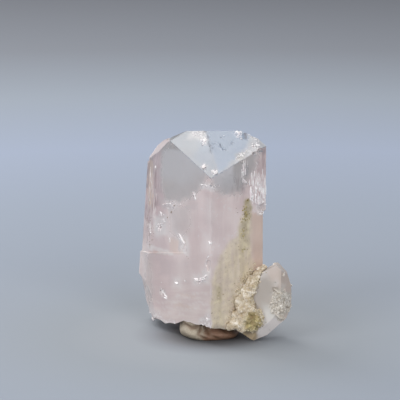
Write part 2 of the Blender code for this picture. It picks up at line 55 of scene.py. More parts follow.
# Zones of the front faces, by what shows there. Each has its strength, the softness of its border, and its
# outline in millimetres of x and height.
FRONT_ZONES = {
    "clear": [
        (1, 1.4, [(-8.3, 38), (-1, 33), (-2.4, 30.6), (-4.5, 27.4), (-7.2, 26), (-9.6, 25.6), (-10.3, 29.2),
                  (-10.2, 35.6)]),
        (0.42, 3, [(-8.7, 25.4), (-4.4, 26), (-4.5, 22.1), (-6.3, 19), (-8.8, 19.5)]),
        (1, 1.8, [(-1, 33), (7.6, 37.4), (8, 34), (6.2, 30.8), (4.6, 28.6), (2.4, 28.8), (0.2, 29.6)]),
        (0.35, 1.5, [(-13.9, 14.6), (-12.2, 14.6), (-11.8, 6), (-12.6, 3), (-13.5, 6)]),
    ],
    "blush": [
        (1, 1, [(-12.9, 36), (-9.4, 36.6), (-9.6, 29.2), (-9.4, 24), (-12, 20), (-13.9, 20.5),
                (-13.6, 28)]),
        (0.6, 2.4, [(-12.8, 18.6), (-9.6, 18.4), (-7.2, 15), (-7.6, 9), (-9.4, 4), (-12.6, 3.6)]),
        (0.15, 2.4, [(-7.6, 15.4), (-1.6, 15.6), (-2.4, 9.4), (-7.6, 8)]),
        (0.25, 1.4, [(-3, 29.4), (-1.2, 29.6), (-1, 20.6), (-4.2, 20.4), (-4.6, 25.4)]),
        (0.6, 1, [(2.6, 31), (5.6, 32), (5.8, 28.6), (2.4, 28.4)]),
        (0.8, 0.8, [(8.6, 37), (9.8, 36.6), (9.8, 31), (8.9, 31)]),
        (0.5, 1.2, [(1.4, 32.4), (4.4, 33.8), (4.6, 30.4), (1.8, 29.8)]),
        (0.5, 1, [(6, 34.6), (9.8, 35), (9.8, 26.6), (6.2, 26.6)]),
    ],
    "flesh": [
        (1, 0.5, [(-12.9, 32.6), (-11.8, 32.6), (-11.8, 23.6), (-12.9, 23.6)]),
        (0.9, 1.2, [(6.8, 24.4), (9.8, 24.6), (9.8, 10.5), (7.2, 10.5)]),
        # Painted shade, warmed by light thrown up from the putty and crust, on the right of the foot
        (0.6, 1.4, [(-0.6, 2.6), (4.6, 4), (6.6, 7), (6.6, 0), (-0.6, 0)]),
        (0.5, 1, [(3.4, 8.6), (4.8, 9.6), (5.2, 6), (3.4, 5.4)]),
        (0.35, 0.5, [(-6.6, 8.2), (-3.6, 9), (-3.6, 8.4), (-6.6, 7.6)]),
        (0.35, 0.5, [(-8, 5.6), (-4, 6.8), (-4, 6.2), (-8, 5)]),
        (0.45, 0.8, [(-8.6, 18.8), (-7, 19.1), (-7, 16.1), (-8.6, 15.8)]),
        (0.6, 0.5, [(-6.3, 19.2), (-5.5, 19.4), (-5.5, 16.9), (-6.3, 16.6)]),
        # Painted shade, pinkish, just under the growth step
        (0.3, 0.4, [(-11.8, 15.3), (-7.6, 16.4), (-6, 16.9), (-6, 16.3), (-8, 15.6), (-11.8, 14.6)]),
    ],
    # Dark marks and painted shade: a few thin dark strokes and specks, and painted shade that darkens parts of
    # the windows, the left edge and shoulder, the place below the growth step and the foot
    "shade": [
        (0.5, 0.2, [(3.5, 31.6), (3.75, 31.9), (3.75, 30.2), (3.55, 30.1)]),
        (0.5, 0.2, [(4.85, 31.5), (5.1, 31.5), (5.1, 30.5), (4.85, 30.5)]),
        (0.5, 0.2, [(5.7, 33.9), (6.1, 33.9), (6, 31.6), (5.7, 31.6)]),
        (0.5, 0.4, [(-13.4, 32.6), (-12.8, 32.8), (-12.9, 26.8), (-13.5, 26.8)]),
        (0.6, 0.5, [(-12.5, 33.2), (-11.6, 33.1), (-11.6, 32.5), (-12.5, 32.4)]),
        (0.3, 1.2, [(0.6, 31.8), (5.6, 33.4), (5.6, 29.4), (0.8, 29)]),
        (0.13, 2, [(-9.8, 36), (-2, 33), (-5, 27.4), (-9.6, 27)]),
        (0.14, 0.8, [(-9.9, 26), (-8, 26), (-8, 24), (-9.9, 24)]),
        (0.2, 0.4, [(-7, 18.8), (-6.5, 18.9), (-6.5, 16.6), (-7, 16.5)]),
        # Painted shadow under the ledge of the growth step
        (0.13, 0.8, [(-10.6, 13.9), (-8.2, 14.4), (-8.2, 11.4), (-10.6, 10.8)]),
        (0.1, 1.5, [(-13.6, 23), (-9.6, 23), (-9.6, 13.5), (-13.6, 13.5)]),
        (0.1, 1.5, [(-8.6, 14.4), (-4.8, 15.2), (-4.8, 10.6), (-8.6, 9.6)]),
        (0.27, 0.8, [(-11.5, 36.4), (-9.7, 36.6), (-9.9, 26.6), (-11.3, 26.4)]),
        (0.17, 0.8, [(-11.5, 27.4), (-9.7, 27.6), (-9.9, 24.6), (-11.3, 24.4)]),
        (0.4, 0.6, [(-13.4, 32.2), (-8.2, 39), (-8, 36.4), (-10.2, 34), (-12.4, 32)]),
        (0.35, 0.8, [(8, 38.4), (10.2, 38.4), (10.2, 35.4), (8, 35.4)]),
        # Painted shade on a broken face at the foot
        (0.28, 0.8, [(-1.4, 3.6), (0.2, 3.8), (2.6, 3.4), (4.6, 3.6), (4.6, 0), (-1.6, 0)]),
        (0.38, 0.6, [(-13.3, 33), (-11.3, 33), (-11.4, 29.8), (-13.2, 29.8)]),
        (0.1, 1, [(-9.8, 36), (-7.8, 36), (-7.8, 29), (-9.8, 29)]),
        (0.12, 1, [(-5.6, 27.8), (-3.4, 27.8), (-3.4, 25), (-5.6, 25)]),
        (0.1, 1, [(-2.2, 29), (-0.2, 29), (-0.2, 23), (-2.2, 23)]),
    ],
    "furrow": [
        (0.45, 0.8, [(2.6, 31.2), (5.4, 32), (6, 30.6), (5.6, 29.2), (4, 29.2), (2.9, 29.6)]),
        (0.25, 1.2, [(3, 29.6), (5.8, 29.6), (5.4, 27), (3.6, 27.2)]),
        (0.35, 0.6, [(6.2, 33), (9.7, 33.4), (9.7, 26.6), (6.2, 26.6)]),
        (0.7, 0.6, [(8.2, 36.8), (9.8, 36.6), (9.8, 32.4), (8.4, 32.4)]),
        (0.9, 0.6, [(-13.6, 35.5), (-11, 35), (-10.8, 24.6), (-12, 22.6), (-14, 22)]),
        (0.8, 0.6, [(-14, 22), (-12.4, 21.6), (-12.2, 15.6), (-14, 15.6)]),
    ],
    "olive": [
        (1, 0.6, [(5.5, 27.3), (6.7, 27.2), (6.9, 25.6), (6.7, 23.6), (5.4, 23.5), (5.3, 25)]),
        (0.5, 1.4, [(4.8, 23.4), (6.6, 23.4), (6.2, 18), (5, 16.6), (4.6, 20)]),
        (0.45, 0.7, [(0, 11.4), (1, 11), (1.2, 8.4), (0.4, 8.6)]),
    ],
    "stain": [
        (0.85, 1.2, [(5, 24.2), (6.8, 24.2), (6.9, 17.3), (6.4, 11), (4.6, 12), (3.6, 18)]),
        (0.7, 1, [(4.5, 20.6), (6.7, 19), (7.4, 11), (8, 1), (-0.6, 0), (-0.6, 13), (0.7, 16.6),
                  (2.6, 19.4)]),
        (0.8, 0.5, [(-0.75, 11), (1.2, 11), (1.6, 3), (-0.75, 2)]),
    ],
    "splinter": [
        (1, 0.6, [(4.8, 34.3), (5.8, 34.4), (5.9, 31.4), (5, 31.2)]),
        (1, 0.7, [(6.6, 32), (9.5, 31), (9.7, 26.4), (6.6, 26.4)]),
        (0.3, 0.5, [(-12.5, 31), (-11.6, 31.4), (-11.4, 25.4), (-12.4, 24.6)]),
    ],
    "crushed": [
        (0.75, 0.5, [(7, 26.9), (9.7, 27), (9.7, 25), (7.4, 25.6)]),
        (0.65, 0.7, [(-10.7, 23.4), (-9.8, 23.4), (-9.4, 21.2), (-10.2, 19.2), (-11.2, 19), (-11, 21.2)]),
        (0.7, 0.5, [(-12.7, 20.2), (-12.2, 20.2), (-12.1, 18.4), (-12.6, 18.2)]),
        (0.9, 0.3, [(-7.1, 19.6), (-6.5, 19.8), (-5.3, 17.2), (-5.9, 16.6)]),
        (0.6, 0.4, [(-8.7, 18.7), (-8.4, 18.7), (-8.4, 17.4), (-8.7, 17.4)]),
        (0.7, 0.5, [(-10.1, 24.7), (-9, 25.6), (-7.6, 25.6), (-7.7, 24.5), (-9.2, 24)]),
        (0.55, 0.3, [(-2.8, 30.6), (-1.4, 30.9), (-0.1, 31), (1, 30.7), (1, 30.2), (-2.6, 30)]),
        (0.6, 0.25, [(-4.3, 28.8), (-3.5, 28.7), (-3.3, 27.4), (-4, 27.3)]),
        (0.4, 0.25, [(-1.6, 17.3), (-1.1, 17.3), (-1.6, 15), (-2.3, 13), (-2.5, 13.3), (-2, 15.4)]),
        (0.95, 0.3, [(-3.9, 12.1), (-1.6, 13), (-1.8, 12.2), (-3.6, 11.4)]),
        (0.9, 0.3, [(-10.4, 8), (-9.4, 8.2), (-8.9, 7), (-9.9, 6.7)]),
        (0.75, 0.7, [(-13.2, 4.4), (-9, 2.4), (-3.6, 2.4), (-0.6, 3), (-0.6, 1), (-9, 0), (-13.4, 1)]),
        (0.8, 0.5, [(-3, 4.2), (-1.6, 5.6), (-0.8, 5.8), (-0.8, 3), (-2.6, 3)]),
    ],
    "veil": [
        (0.6, 0.6, [(7.4, 25.8), (9.8, 25.6), (9.8, 23.6), (8.2, 24)]),
        (0.7, 1.2, [(-12, 22), (-9.4, 22.6), (-9, 19), (-11.4, 18)]),
        # Painted highlight along the ledge of the growth step, where it catches the light from above
        (0.75, 0.7, [(-13, 16.1), (-8, 16), (-7.6, 15.4), (-13, 15.3)]),
        (0.35, 0.3, [(-7.4, 7.6), (-4.6, 8.4), (-4.6, 7.9), (-7.4, 7.1)]),
        (0.35, 0.3, [(-4.2, 9.2), (-1.4, 10), (-1.4, 9.6), (-4.2, 8.8)]),
        (0.35, 0.3, [(-11.4, 5.4), (-6.4, 6.9), (-6.4, 6.5), (-11.4, 5)]),
        (0.35, 0.3, [(-5, 7.1), (-1.4, 8.2), (-1.4, 7.8), (-5, 6.7)]),
        (0.35, 0.3, [(-10, 4.6), (-3, 6.7), (-3, 6.3), (-10, 4.2)]),
        (0.35, 0.3, [(-11, 3.3), (-6, 4.8), (-6, 4.4), (-11, 2.9)]),
        (0.7, 1, [(-2.4, 14.2), (-1, 14.6), (-1, 11.8), (-2.2, 11.4)]),
        (0.6, 1.4, [(-4.2, 12.8), (-1.6, 13.2), (-1.8, 11.4), (-4.2, 10.6)]),
        (0.4, 1.2, [(-8, 11.4), (-6.4, 11.4), (-6.4, 9.2), (-8, 9)]),
        (0.3, 1.6, [(-2.4, 21.4), (-0.9, 21.4), (-0.9, 17.8), (-2.2, 17.8)]),
        (0.3, 0.8, [(-3.6, 3.2), (-0.8, 7.6), (-0.6, 2), (-3, 1)]),
        (0.7, 0.8, [(-2.9, 31), (1.2, 31.2), (1.4, 29.8), (-2.8, 29.6)]),
        (0.35, 1, [(-10.4, 25.9), (-7.2, 26.2), (-7, 24.6), (-10, 23.8)]),
        (0.5, 1, [(-7.3, 20.2), (-5, 19.8), (-4.8, 16.6), (-6.4, 16.2)]),
        (0.12, 0.8, [(-1.4, 28), (-0.4, 28), (-0.4, 19), (-1.4, 19)]),
    ],
}

# Sparks where a sliver has flaked off, white spots that partly stand for glints as painted highlight, as
# places of x and height, each with its width
FRONT_SPARKS = [(-7.2, 10.2, 0.6), (-1, 19.8, 0.5), (5.6, 30.6, 0.5), (-6.5, 25.7, 0.3), (-10.2, 9.5, 0.25),
                (-12.2, 33.2, 0.5), (-11.3, 31.6, 0.3), (-5.7, 11.1, 0.3), (-3.3, 12, 0.6), (-2.7, 12, 0.6),
                (-1.7, 13.3, 0.5), (-2, 12.7, 0.4), (-9.2, 6.9, 0.45), (-9.8, 7.5, 0.35), (-9.6, 25, 0.4),
                (-8.4, 25.3, 0.4), (-7.9, 25, 0.3), (-10.2, 22.9, 0.35), (-9.7, 21.7, 0.3),
                (-10.6, 20.2, 0.35), (-10.7, 19.4, 0.3), (-6.2, 19, 0.35), (-5.8, 18.5, 0.4),
                (8.8, 24.3, 0.35), (9.4, 24.1, 0.4)]

# Zones of the top face, as outlines of x and y
TOP_ZONES = {
    "crushed": [
        (0.25, 0.8, [(3.7, -6.8), (4.2, -4.8), (5.2, -4.2), (6.3, -3.2), (7.4, -2.2), (8.4, -2.8),
                     (8.3, -4.4), (6.5, -5.9), (4.6, -7)]),
        (0.5, 0.8, [(6, 0.4), (7.2, -0.4), (8.6, -1.8), (8, -2.6), (6.4, -1)]),
        (0.5, 0.6, [(-4.6, 0.6), (-4, 1.2), (-1.9, 1.2), (-1.9, -1.4), (-3, -0.6)]),
        (0.9, 0.4, [(-3, -0.8), (-1.8, -0.8), (-1.5, -2.4), (-2.6, -2)]),
        (0.6, 0.5, [(3.7, 0.8), (5.2, 0.8), (5, -1.2), (4, -0.9)]),
        (0.6, 0.4, [(6.4, -2.8), (7.8, -2.6), (8.4, -3.2), (8, -4), (7, -3.9)]),
    ],
    "veil": [
        (0.2, 0.9, [(3.8, -6.8), (4.4, -5), (6.4, -3.6), (8.4, -3.2), (8.3, -4.6), (6.5, -5.9), (4.6, -7)]),
        (0.55, 1, [(-5.4, -0.9), (-4.6, 1.4), (-1.7, 1.4), (-1.6, -1.8), (-3, -1.3), (-3.8, -1.1)]),
    ],
    "blush": [
        (1, 0.8, [(8, 3), (10.4, 3), (9.9, -5.6), (7.4, -5.4), (7.8, -3.4)]),
        (0.8, 1.2, [(3.6, -0.8), (7.6, -1.4), (8.2, -3), (6.3, -3.6), (4.2, -3.8)]),
        (0.8, 1, [(-14, 9), (-8.4, 9), (-8.4, -3), (-14, -3)]),
    ],
    # Dark marks and painted shade: in the notch and along the open crack, and darker tones at the right
    # corner, among the lumps and on the left shoulder
    "shade": [
        (0.5, 0.8, [(8.2, 3), (10.4, 3), (9.9, -5.6), (8, -5.2)]),
        (0.22, 0.8, [(3.6, -3.8), (5.6, -3.6), (6, -5.8), (3.8, -6.4)]),
        (0.9, 0.35, [(5.4, 1), (6.1, 1), (6, -1.6), (5.5, -1.6)]),
        (0.35, 0.4, [(-1.8, 1), (-1.4, 1), (-0.8, -1.6), (-0.3, -4.4), (-0.7, -4.4), (-1.3, -1.6)]),
        (0.25, 1.2, [(-1.4, -1.6), (0.3, -1.6), (0.4, -4), (-1, -4.2)]),
        (0.36, 1, [(-14, 9), (-8.8, 9), (-8.8, -3), (-14, -3)]),
    ],
    "flesh": [
        (1, 1, [(-6.2, 0.6), (-3.2, 1), (-2.4, -0.8), (-4.4, -1.4)]),
    ],
    "stain": [
        (0.35, 0.8, [(6.2, 0.8), (8.8, -0.6), (9.2, -1.8), (7, -0.8)]),
        (0.4, 0.8, [(3.8, -5.2), (5.4, -5), (5.2, -6.6), (4, -6.8)]),
    ],
    # Painted reflection: the bluish tone that the top face shows of the tent and softbox
    "blue": [
        (1, 1.2, [(-1.9, 1.6), (6.6, 1.6), (6, -4), (0.6, -9.6), (-0.8, -4)]),
        (0.5, 3, [(-2.2, -1.6), (0, -1.6), (0.6, -10), (-4.4, -6)]),
    ],
}
# Sparks of the top face, white spots that partly stand for glints as painted highlight, as places of x and y,
# each with its width
TOP_SPARKS = [(-2.1, -7.7, 1), (-2.2, -7.4, 0.6), (-0.3, -9.3, 1), (0.1, -9, 0.7), (1.7, -0.5, 0.2),
              (-2.6, -1.2, 0.4), (-1.9, -1.6, 0.5), (-2.3, -2.2, 0.4), (4.1, 0.3, 0.4), (4.5, -0.5, 0.35),
              (5, -1.6, 0.3), (7, -3.4, 0.4), (7.8, -3.2, 0.4), (4.9, -5.4, 0.35), (5.9, -4.6, 0.35)]

# Dark marks of painted shade in the open crack and pits of the top face: x, y and width of each
TOP_SHADES = [(-1.2, -2, 0.3), (-1.1, -2.8, 0.28), (-0.9, -3.6, 0.32), (-0.5, -2.2, 0.28),
              (-0.4, -3.2, 0.32), (-0.1, -2.7, 0.28), (0.1, -3.5, 0.28), (-0.7, -4, 0.3),
              (-0.8, -2.5, 0.26), (-0.3, -3.8, 0.26), (-1.1, 0.7, 0.32), (-1, 0.1, 0.3), (-1.2, -0.5, 0.26),
              (-2.1, 0.4, 0.3), (-2.2, -0.5, 0.28), (1, -2.2, 0.3), (1.2, -3, 0.3), (1.6, -3.5, 0.3),
              (2, -3.7, 0.28), (1, -2.6, 0.26), (1.2, -1, 0.28), (2.6, -3.6, 0.26), (0.4, -2, 0.24),
              (2.2, -1.4, 0.24), (3.1, -2.2, 0.26)]

# Zones of the back faces, which follow the same habit, as outlines of x and height
BACK_ZONES = {
    "clear": [
        (1, 2.4, [(-9.5, 38), (4, 38), (3, 31), (-1, 28), (-6, 29), (-9, 26)]),
        (0.6, 2, [(2, 24), (7, 26), (8, 19), (4, 16)]),
        (0.7, 2, [(-6, 22), (-2, 21), (-3, 14), (-6.5, 15)]),
    ],
    "blush": [
        (1, 1.5, [(-13, 32), (-9, 31), (-8, 20), (-12, 15)]),
        (0.7, 2, [(4, 34), (9.5, 34), (9.5, 24), (6, 25)]),
    ],
    "furrow": [
        (0.8, 0.8, [(1.5, 33), (4, 33), (5, 24), (2.5, 22)]),
    ],
    "splinter": [
        (0.9, 0.7, [(5.8, 34), (9.4, 33), (9.4, 27), (7, 25.5)]),
        (0.8, 0.6, [(-8, 25), (-6.6, 25), (-6.8, 19), (-7.8, 19)]),
    ],
    "crushed": [
        (0.8, 0.6, [(-4.8, 28), (-3, 28.6), (-2.6, 26.6), (-4.4, 26.2)]),
        (0.8, 0.5, [(0.5, 18.5), (2.4, 19), (2.8, 17.6), (0.8, 17)]),
        (0.7, 0.6, [(-10.8, 13), (-9, 12.8), (-9.4, 10.4), (-11, 11)]),
        (0.5, 0.8, [(-12, 5.5), (-4, 4.2), (4, 5.5), (9, 3.4), (8, 1), (-12, 1)]),
    ],
    "stain": [
        (0.6, 1.4, [(3.5, 14), (9.8, 15), (9.8, 1), (2, 1), (2.4, 8)]),
        (0.4, 1.4, [(-4.5, 9), (-1.5, 10), (-1, 2), (-5, 2)]),
    ],
    "flesh": [
        (0.7, 1.6, [(6, 24), (9.8, 24), (9.8, 14), (6, 13)]),
    ],
}
BACK_SPARKS = [(-6.2, 33, 0.4), (1.2, 30.4, 0.4), (-1.6, 24, 0.3), (3.6, 12.4, 0.4), (-8, 8.2, 0.4),
               (6, 21, 0.3), (-3.2, 17, 0.3), (0.2, 8.6, 0.3)]


def whole_faces(node):
    """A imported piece's mesh, welded, with its flat faces whole again."""
    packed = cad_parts[node].data
    shape = bmesh.new()
    corners = [shape.verts.new(vert.co) for vert in packed.vertices]
    for face in packed.polygons:
        shape.faces.new([corners[index] for index in face.vertices])
    bmesh.ops.remove_doubles(shape, verts=shape.verts, dist=WELD * MM)
    bmesh.ops.dissolve_limit(shape, angle_limit=math.radians(FLAT_ANGLE), verts=shape.verts,
                             edges=shape.edges)
    return shape


def score_faces(shape, across, up):
    """Cuts each large flat face into cells, so that its surface can be worked."""
    groups = {}
    for face in shape.faces:
        groups.setdefault(tuple(round(part, 2) for part in face.normal), []).append(face)
    for direction, faces in groups.items():
        if sum(face.calc_area() for face in faces) < SMALLEST_SCORED_FACE * MM * MM:
            continue
        normal = Vector(direction).normalized()
        side = Vector((0, 0, 1)).cross(normal).normalized() if abs(normal.z) < 0.99 else Vector((1, 0, 0))
        corners = {vert for face in faces for vert in face.verts}
        geom = [*corners, *{edge for face in faces for edge in face.edges}, *faces]
        for line, pitch in ((side, across * MM), (normal.cross(side), up * MM)):
            reach = [vert.co.dot(line) for vert in corners]
            count = int((max(reach) - min(reach)) / pitch)
            for step in range(1, count):
                place = min(reach) + (max(reach) - min(reach)) * step / count
                cut = bmesh.ops.bisect_plane(shape, geom=geom, dist=1e-7, plane_co=line * place,
                                             plane_no=line)
                geom = cut["geom"]
    shape.normal_update()


def smooth_step(value):
    value = min(1.0, max(0.0, value))
    return value * value * (3 - 2 * value)


def distance_to_leg(x, y, start, end):
    """How far a place lies from a straight leg of a line."""
    across, along = end[0] - start[0], end[1] - start[1]
    share = ((x - start[0]) * across + (y - start[1]) * along) / (across ** 2 + along ** 2)
    share = min(1.0, max(0.0, share))
    return math.hypot(x - start[0] - share * across, y - start[1] - share * along)


def depth_inside(outline, x, y):
    """How far a place lies inside an outline, in millimetres, less than 0 outside it."""
    inside = False
    nearest = 1e9
    for (x1, y1), (x2, y2) in zip(outline, outline[1:] + outline[:1]):
        if (y1 > y) != (y2 > y) and x < (x2 - x1) * (y - y1) / (y2 - y1) + x1:
            inside = not inside
        nearest = min(nearest, distance_to_leg(x, y, (x1, y1), (x2, y2)))
    return nearest if inside else -nearest


def with_reach(zones):
    """Zones in one list, each with the box that it reaches, so that far places are passed over quickly."""
    reaching = []
    for finish, marks in zones.items():
        for strength, soft, outline in marks:
            xs, ys = zip(*outline)
            box = (min(xs) - soft / 2, max(xs) + soft / 2, min(ys) - soft / 2, max(ys) + soft / 2)
            reaching.append((finish, strength, soft, outline, *box))
    return reaching


def zone_shares(zones, sparks, x, y, place, shades=()):
    """How much each kind of finish holds at a place, from zones whose borders wander a little."""
    x += 0.3 * noise.noise(place * 0.6) + 0.2 * noise.noise(place * 1.9)
    broad, fine = place * 0.5 + Vector((9, 9, 9)), place * 1.6 + Vector((5, 5, 5))
    y += 0.5 * noise.noise(broad) + 0.3 * noise.noise(fine)
    shares = dict.fromkeys(FINISHES, 0.0)
    for finish, strength, soft, outline, left, right, low, high in zones:
        if left < x < right and low < y < high:
            share = strength * smooth_step(0.5 + depth_inside(outline, x, y) / soft)
            shares[finish] = max(share, shares.get(finish, 0.0))
    # Sparks are painted white, partly standing for glints, and dark marks take painted shade
    for finish, marks in (("crushed", sparks), ("shade", shades)):
        for mark_x, mark_y, width in marks:
            share = smooth_step(1.5 - 2 * math.hypot(x - mark_x, y - mark_y) / width)
            shares[finish] = max(share, shares[finish])
    return shares


# The broken foot's edge wanders: how far it stands above its plain line, as x and height in millimetres
FOOT_LINE = [(-13.6, 1.1), (-12, 0.8), (-10.8, 0), (-9.6, -0.9), (-7.6, -0.9), (-6, -0.1), (-2, 0),
             (0, -0.5), (1.6, -1.2), (6.6, -1.4), (8.2, -0.6), (9.6, 0)]
FOOT_BLEND = 4.5
FOOT_TOP = 7.5
FOOT_BACK = 5.0
FOOT_BACK_BLEND = 4.0


def foot_shift(place):
    """How far the broken foot lies off its plain line at a place, in millimetres."""
    for (x1, z1), (x2, z2) in zip(FOOT_LINE, FOOT_LINE[1:]):
        if x1 <= place.x < x2:
            shift = z1 + (z2 - z1) * (place.x - x1) / (x2 - x1)
            near = smooth_step((FOOT_TOP - place.z) / FOOT_BLEND)
            return shift * near * smooth_step((FOOT_BACK - place.y) / FOOT_BACK_BLEND)
    return 0.0


def edge_tree(shape):
    """A search tree of places along a shape's sharp edges."""
    places = []
    for edge in shape.edges:
        if edge.calc_face_angle(0.0) > math.radians(SHARP_ANGLE):
            places += [edge.verts[0].co, edge.verts[1].co, (edge.verts[0].co + edge.verts[1].co) / 2]
    tree = kdtree.KDTree(len(places))
    for index, place in enumerate(places):
        tree.insert(place, index)
    tree.balance()
    return tree


def add_piece(name, shape, material, node=None):
    """Puts a mesh in the scene, smooth but for its sharp edges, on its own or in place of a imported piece."""
    bmesh.ops.triangulate(shape, faces=[face for face in shape.faces if len(face.verts) > 4])
    mesh = bpy.data.meshes.new(name)
    shape.to_mesh(mesh)
    shape.free()
    mesh.shade_smooth()
    mesh.set_sharp_from_angle(angle=math.radians(SHARP_ANGLE))
    mesh.materials.append(material)
    piece = bpy.data.objects.new(name, mesh)
    bpy.context.collection.objects.link(piece)
    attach(piece, "root")
    if node:
        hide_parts(node)


def paint(code):
    """An sRGB hex colour as linear light."""
    parts = [int(code[place:place + 2], 16) / 255 for place in (1, 3, 5)]
    return (*[part / 12.92 if part <= 0.04045 else ((part + 0.055) / 1.055) ** 2.4 for part in parts], 1.0)


def add_node(tree, kind, inputs=(), **settings):
    """Adds a shader node, sets its settings, and sets or links its inputs."""
    node = tree.nodes.new("ShaderNode" + kind)
    for name, value in settings.items():
        setattr(node, name, value)
    for name, value in dict(inputs).items():
        if isinstance(value, bpy.types.Node):
            value = next(socket for socket in value.outputs if socket.enabled)
        if isinstance(value, bpy.types.NodeSocket):
            tree.links.new(value, node.inputs[name])
        else:
            node.inputs[name].default_value = value
    return node


def spacing(size):
    """The scale of a pattern whose marks are size apart, in millimetres."""
    return 1 / (size * MM)


def even(value):
    """A plain value, for a socket that takes a colour."""
    return (value, value, value, 1.0)


def new_material(name):
    """A material with an empty tree."""
    material = bpy.data.materials.new(name)
    material.use_nodes = True
    material.node_tree.nodes.clear()
    return material, material.node_tree


def make_danburite():
    """Danburite: glassy, clear where the zones say so and milky elsewhere, with a faint pink body colour."""
    material, tree = new_material("natural_danburite")
    place = add_node(tree, "TexCoord").outputs["Object"]
    upright = add_node(tree, "Mapping", {"Vector": place, "Scale": (1.0, 1.0, 0.1)})
    flat = add_node(tree, "Mapping", {"Vector": place, "Scale": (7.0, 7.0, 1.0),
                                      "Rotation": (0.0, -0.29, 0.0)}, vector_type="TEXTURE")
    share = {name: add_node(tree, "Attribute", attribute_name=name).outputs["Fac"] for name in FINISHES}

    # Patterns, each with the size of its marks in millimetres: clouds of milk, upright growth lines, flecks,
    # growth layers that lie a little tilted, grooves between the growth ribs that take painted shade, blots,
    # runs and dots of clay, white fibres and crushed grit
    marks = {}
    for name, vector, size, detail in (
            ("clouds", place, 4.5, 5.0), ("lines", upright, 0.45, 3.0), ("flecks", place, 0.7, 4.0),
            ("layers", flat, 0.7, 3.0), ("shaded_grooves", upright, 0.32, 1.5), ("blots", place, 1.4, 5.0),
            ("runs", upright, 1.1, 4.0), ("dots", place, 0.55, 4.0), ("fibres", upright, 0.3, 2.0),
            ("grit", place, 0.4, 3.0)):
        marks[name] = add_node(tree, "TexNoise", {"Vector": vector, "Scale": spacing(size), "Detail": detail})

    # How much of a pattern shows: from none where it is under the first value to the last where it is over
    # the second
    shown = {}
    for name, low, high, most in (
            ("clouds", 0.35, 0.65, 1.0), ("lines", 0.4, 0.75, 0.22), ("flecks", 0.62, 0.74, 0.5),
            ("layers", 0.35, 0.65, 1.0), ("shaded_grooves", 0.48, 0.6, 0.6), ("dots", 0.58, 0.7, 0.4),
            ("fibres", 0.5, 0.6, 1.0), ("grit", 0.46, 0.6, 1.0)):
        shown[name] = add_node(tree, "MapRange", {"Value": marks[name], "From Min": low, "From Max": high,
                                                  "To Max": most})
    held = {}
    for name, finish in (("shaded_grooves", "furrow"), ("dots", "stain"), ("fibres", "splinter"),
                         ("grit", "crushed")):
        held[name] = add_node(tree, "Math", {0: share[finish], 1: shown[name]}, operation="MULTIPLY")

    # Healed cracks: short pale curves where a sheet of bubbles meets the face
    sheets = add_node(tree, "TexNoise", {"Vector": place, "Scale": spacing(5.0), "Detail": 2.5,
                                         "Distortion": 0.6})
    healed = add_node(tree, "Math", {0: sheets, 1: 0.5}, operation="SUBTRACT")
    healed = add_node(tree, "Math", {0: healed}, operation="ABSOLUTE")
    healed = add_node(tree, "MapRange", {"Value": healed, "From Max": 0.01, "To Min": 0.5, "To Max": 0.0})
    broken = add_node(tree, "MapRange", {"Value": marks["clouds"], "From Min": 0.5, "From Max": 0.58})
    healed = add_node(tree, "Math", {0: healed, 1: broken}, operation="MULTIPLY")

    # The growth layers show near the foot
    height = add_node(tree, "SeparateXYZ", {"Vector": place}).outputs["Z"]
    low = add_node(tree, "MapRange", {"Value": height, "From Min": 18 * MM, "From Max": 8 * MM,
                                      "To Max": 0.75})
    layered = add_node(tree, "Math", {0: low, 1: shown["layers"]}, operation="MULTIPLY")

    # Clay is thicker and thinner in upright runs and blots, so the stain is streaked, and it is mossy where
    # it is olive
    thick = add_node(tree, "Math", {0: marks["lines"], 1: 0.55, 2: -0.28}, operation="MULTIPLY_ADD")
    thick = add_node(tree, "Math", {0: marks["blots"], 1: thick}, operation="ADD")
    thick = add_node(tree, "MapRange", {"Value": thick, "From Min": 0.3, "From Max": 0.62, "To Min": 0.55,
                                        "To Max": 0.9})
    stained = add_node(tree, "Math", {0: share["stain"], 1: thick}, operation="MULTIPLY")
    mottled = add_node(tree, "Math", {0: marks["runs"], 1: 0.45, 2: marks["blots"]}, operation="MULTIPLY_ADD")
    mottled = add_node(tree, "MapRange", {"Value": mottled, "From Min": 0.56, "From Max": 0.86})
    clay = add_node(tree, "MixRGB", {"Fac": mottled, "Color1": paint("#BBAD7C"), "Color2": paint("#E8DBB6")})
    mossy = add_node(tree, "MapRange", {"Value": marks["blots"], "From Min": 0.3, "From Max": 0.6,
                                        "To Min": 1.0, "To Max": 0.5})
    mossy = add_node(tree, "Math", {0: share["olive"], 1: mossy}, operation="MULTIPLY")
    moss = add_node(tree, "MixRGB", {"Fac": marks["blots"], "Color1": paint("#837543"),
                                     "Color2": paint("#BFB27F")})

    # Crushed and splintered places scatter light and look white, on a bruised ground
    bruised = add_node(tree, "Math", {0: share["crushed"], 1: 0.45}, operation="MULTIPLY")
    white = add_node(tree, "Math", {0: held["fibres"], 1: held["grit"]}, operation="MAXIMUM")

    # The colours, from the milky body outwards. The grey and bluish coats of the glassy top are painted
    # reflections, the grooves take painted shade, and some zones of flesh, veil and shade paint highlights and
    # shade besides the crystal's own tones.
    colour = add_node(tree, "MixRGB", {"Fac": shown["clouds"], "Color1": paint("#EEDBD7"),
                                       "Color2": paint("#F6E7E2")})
    for mask, coat in (
            (shown["lines"], paint("#E0CAC8")), (shown["flecks"], paint("#FAF7F5")),
            (healed, paint("#FCFAF9")), (low, paint("#E6D4D0")), (layered, paint("#F3E6E0")),
            (share["blush"], paint("#DEC9C8")), (share["flesh"], paint("#E6CDBC")),
            (share["clear"], paint("#EDE8E4")),
            (share["painted_reflection_grey"], paint("#C0C5CA")), (share["blue"], paint("#A9BBD1")),
            (share["veil"], paint("#FBF6F3")), (held["shaded_grooves"], paint("#957C7E")), (stained, clay),
            (held["dots"], paint("#9A8760")), (mossy, moss), (bruised, paint("#CABEC0")),
            (white, paint("#F6F1EF")), (share["shade"], paint("#74747C"))):
        colour = add_node(tree, "MixRGB", {"Fac": mask, "Color1": colour, "Color2": coat})

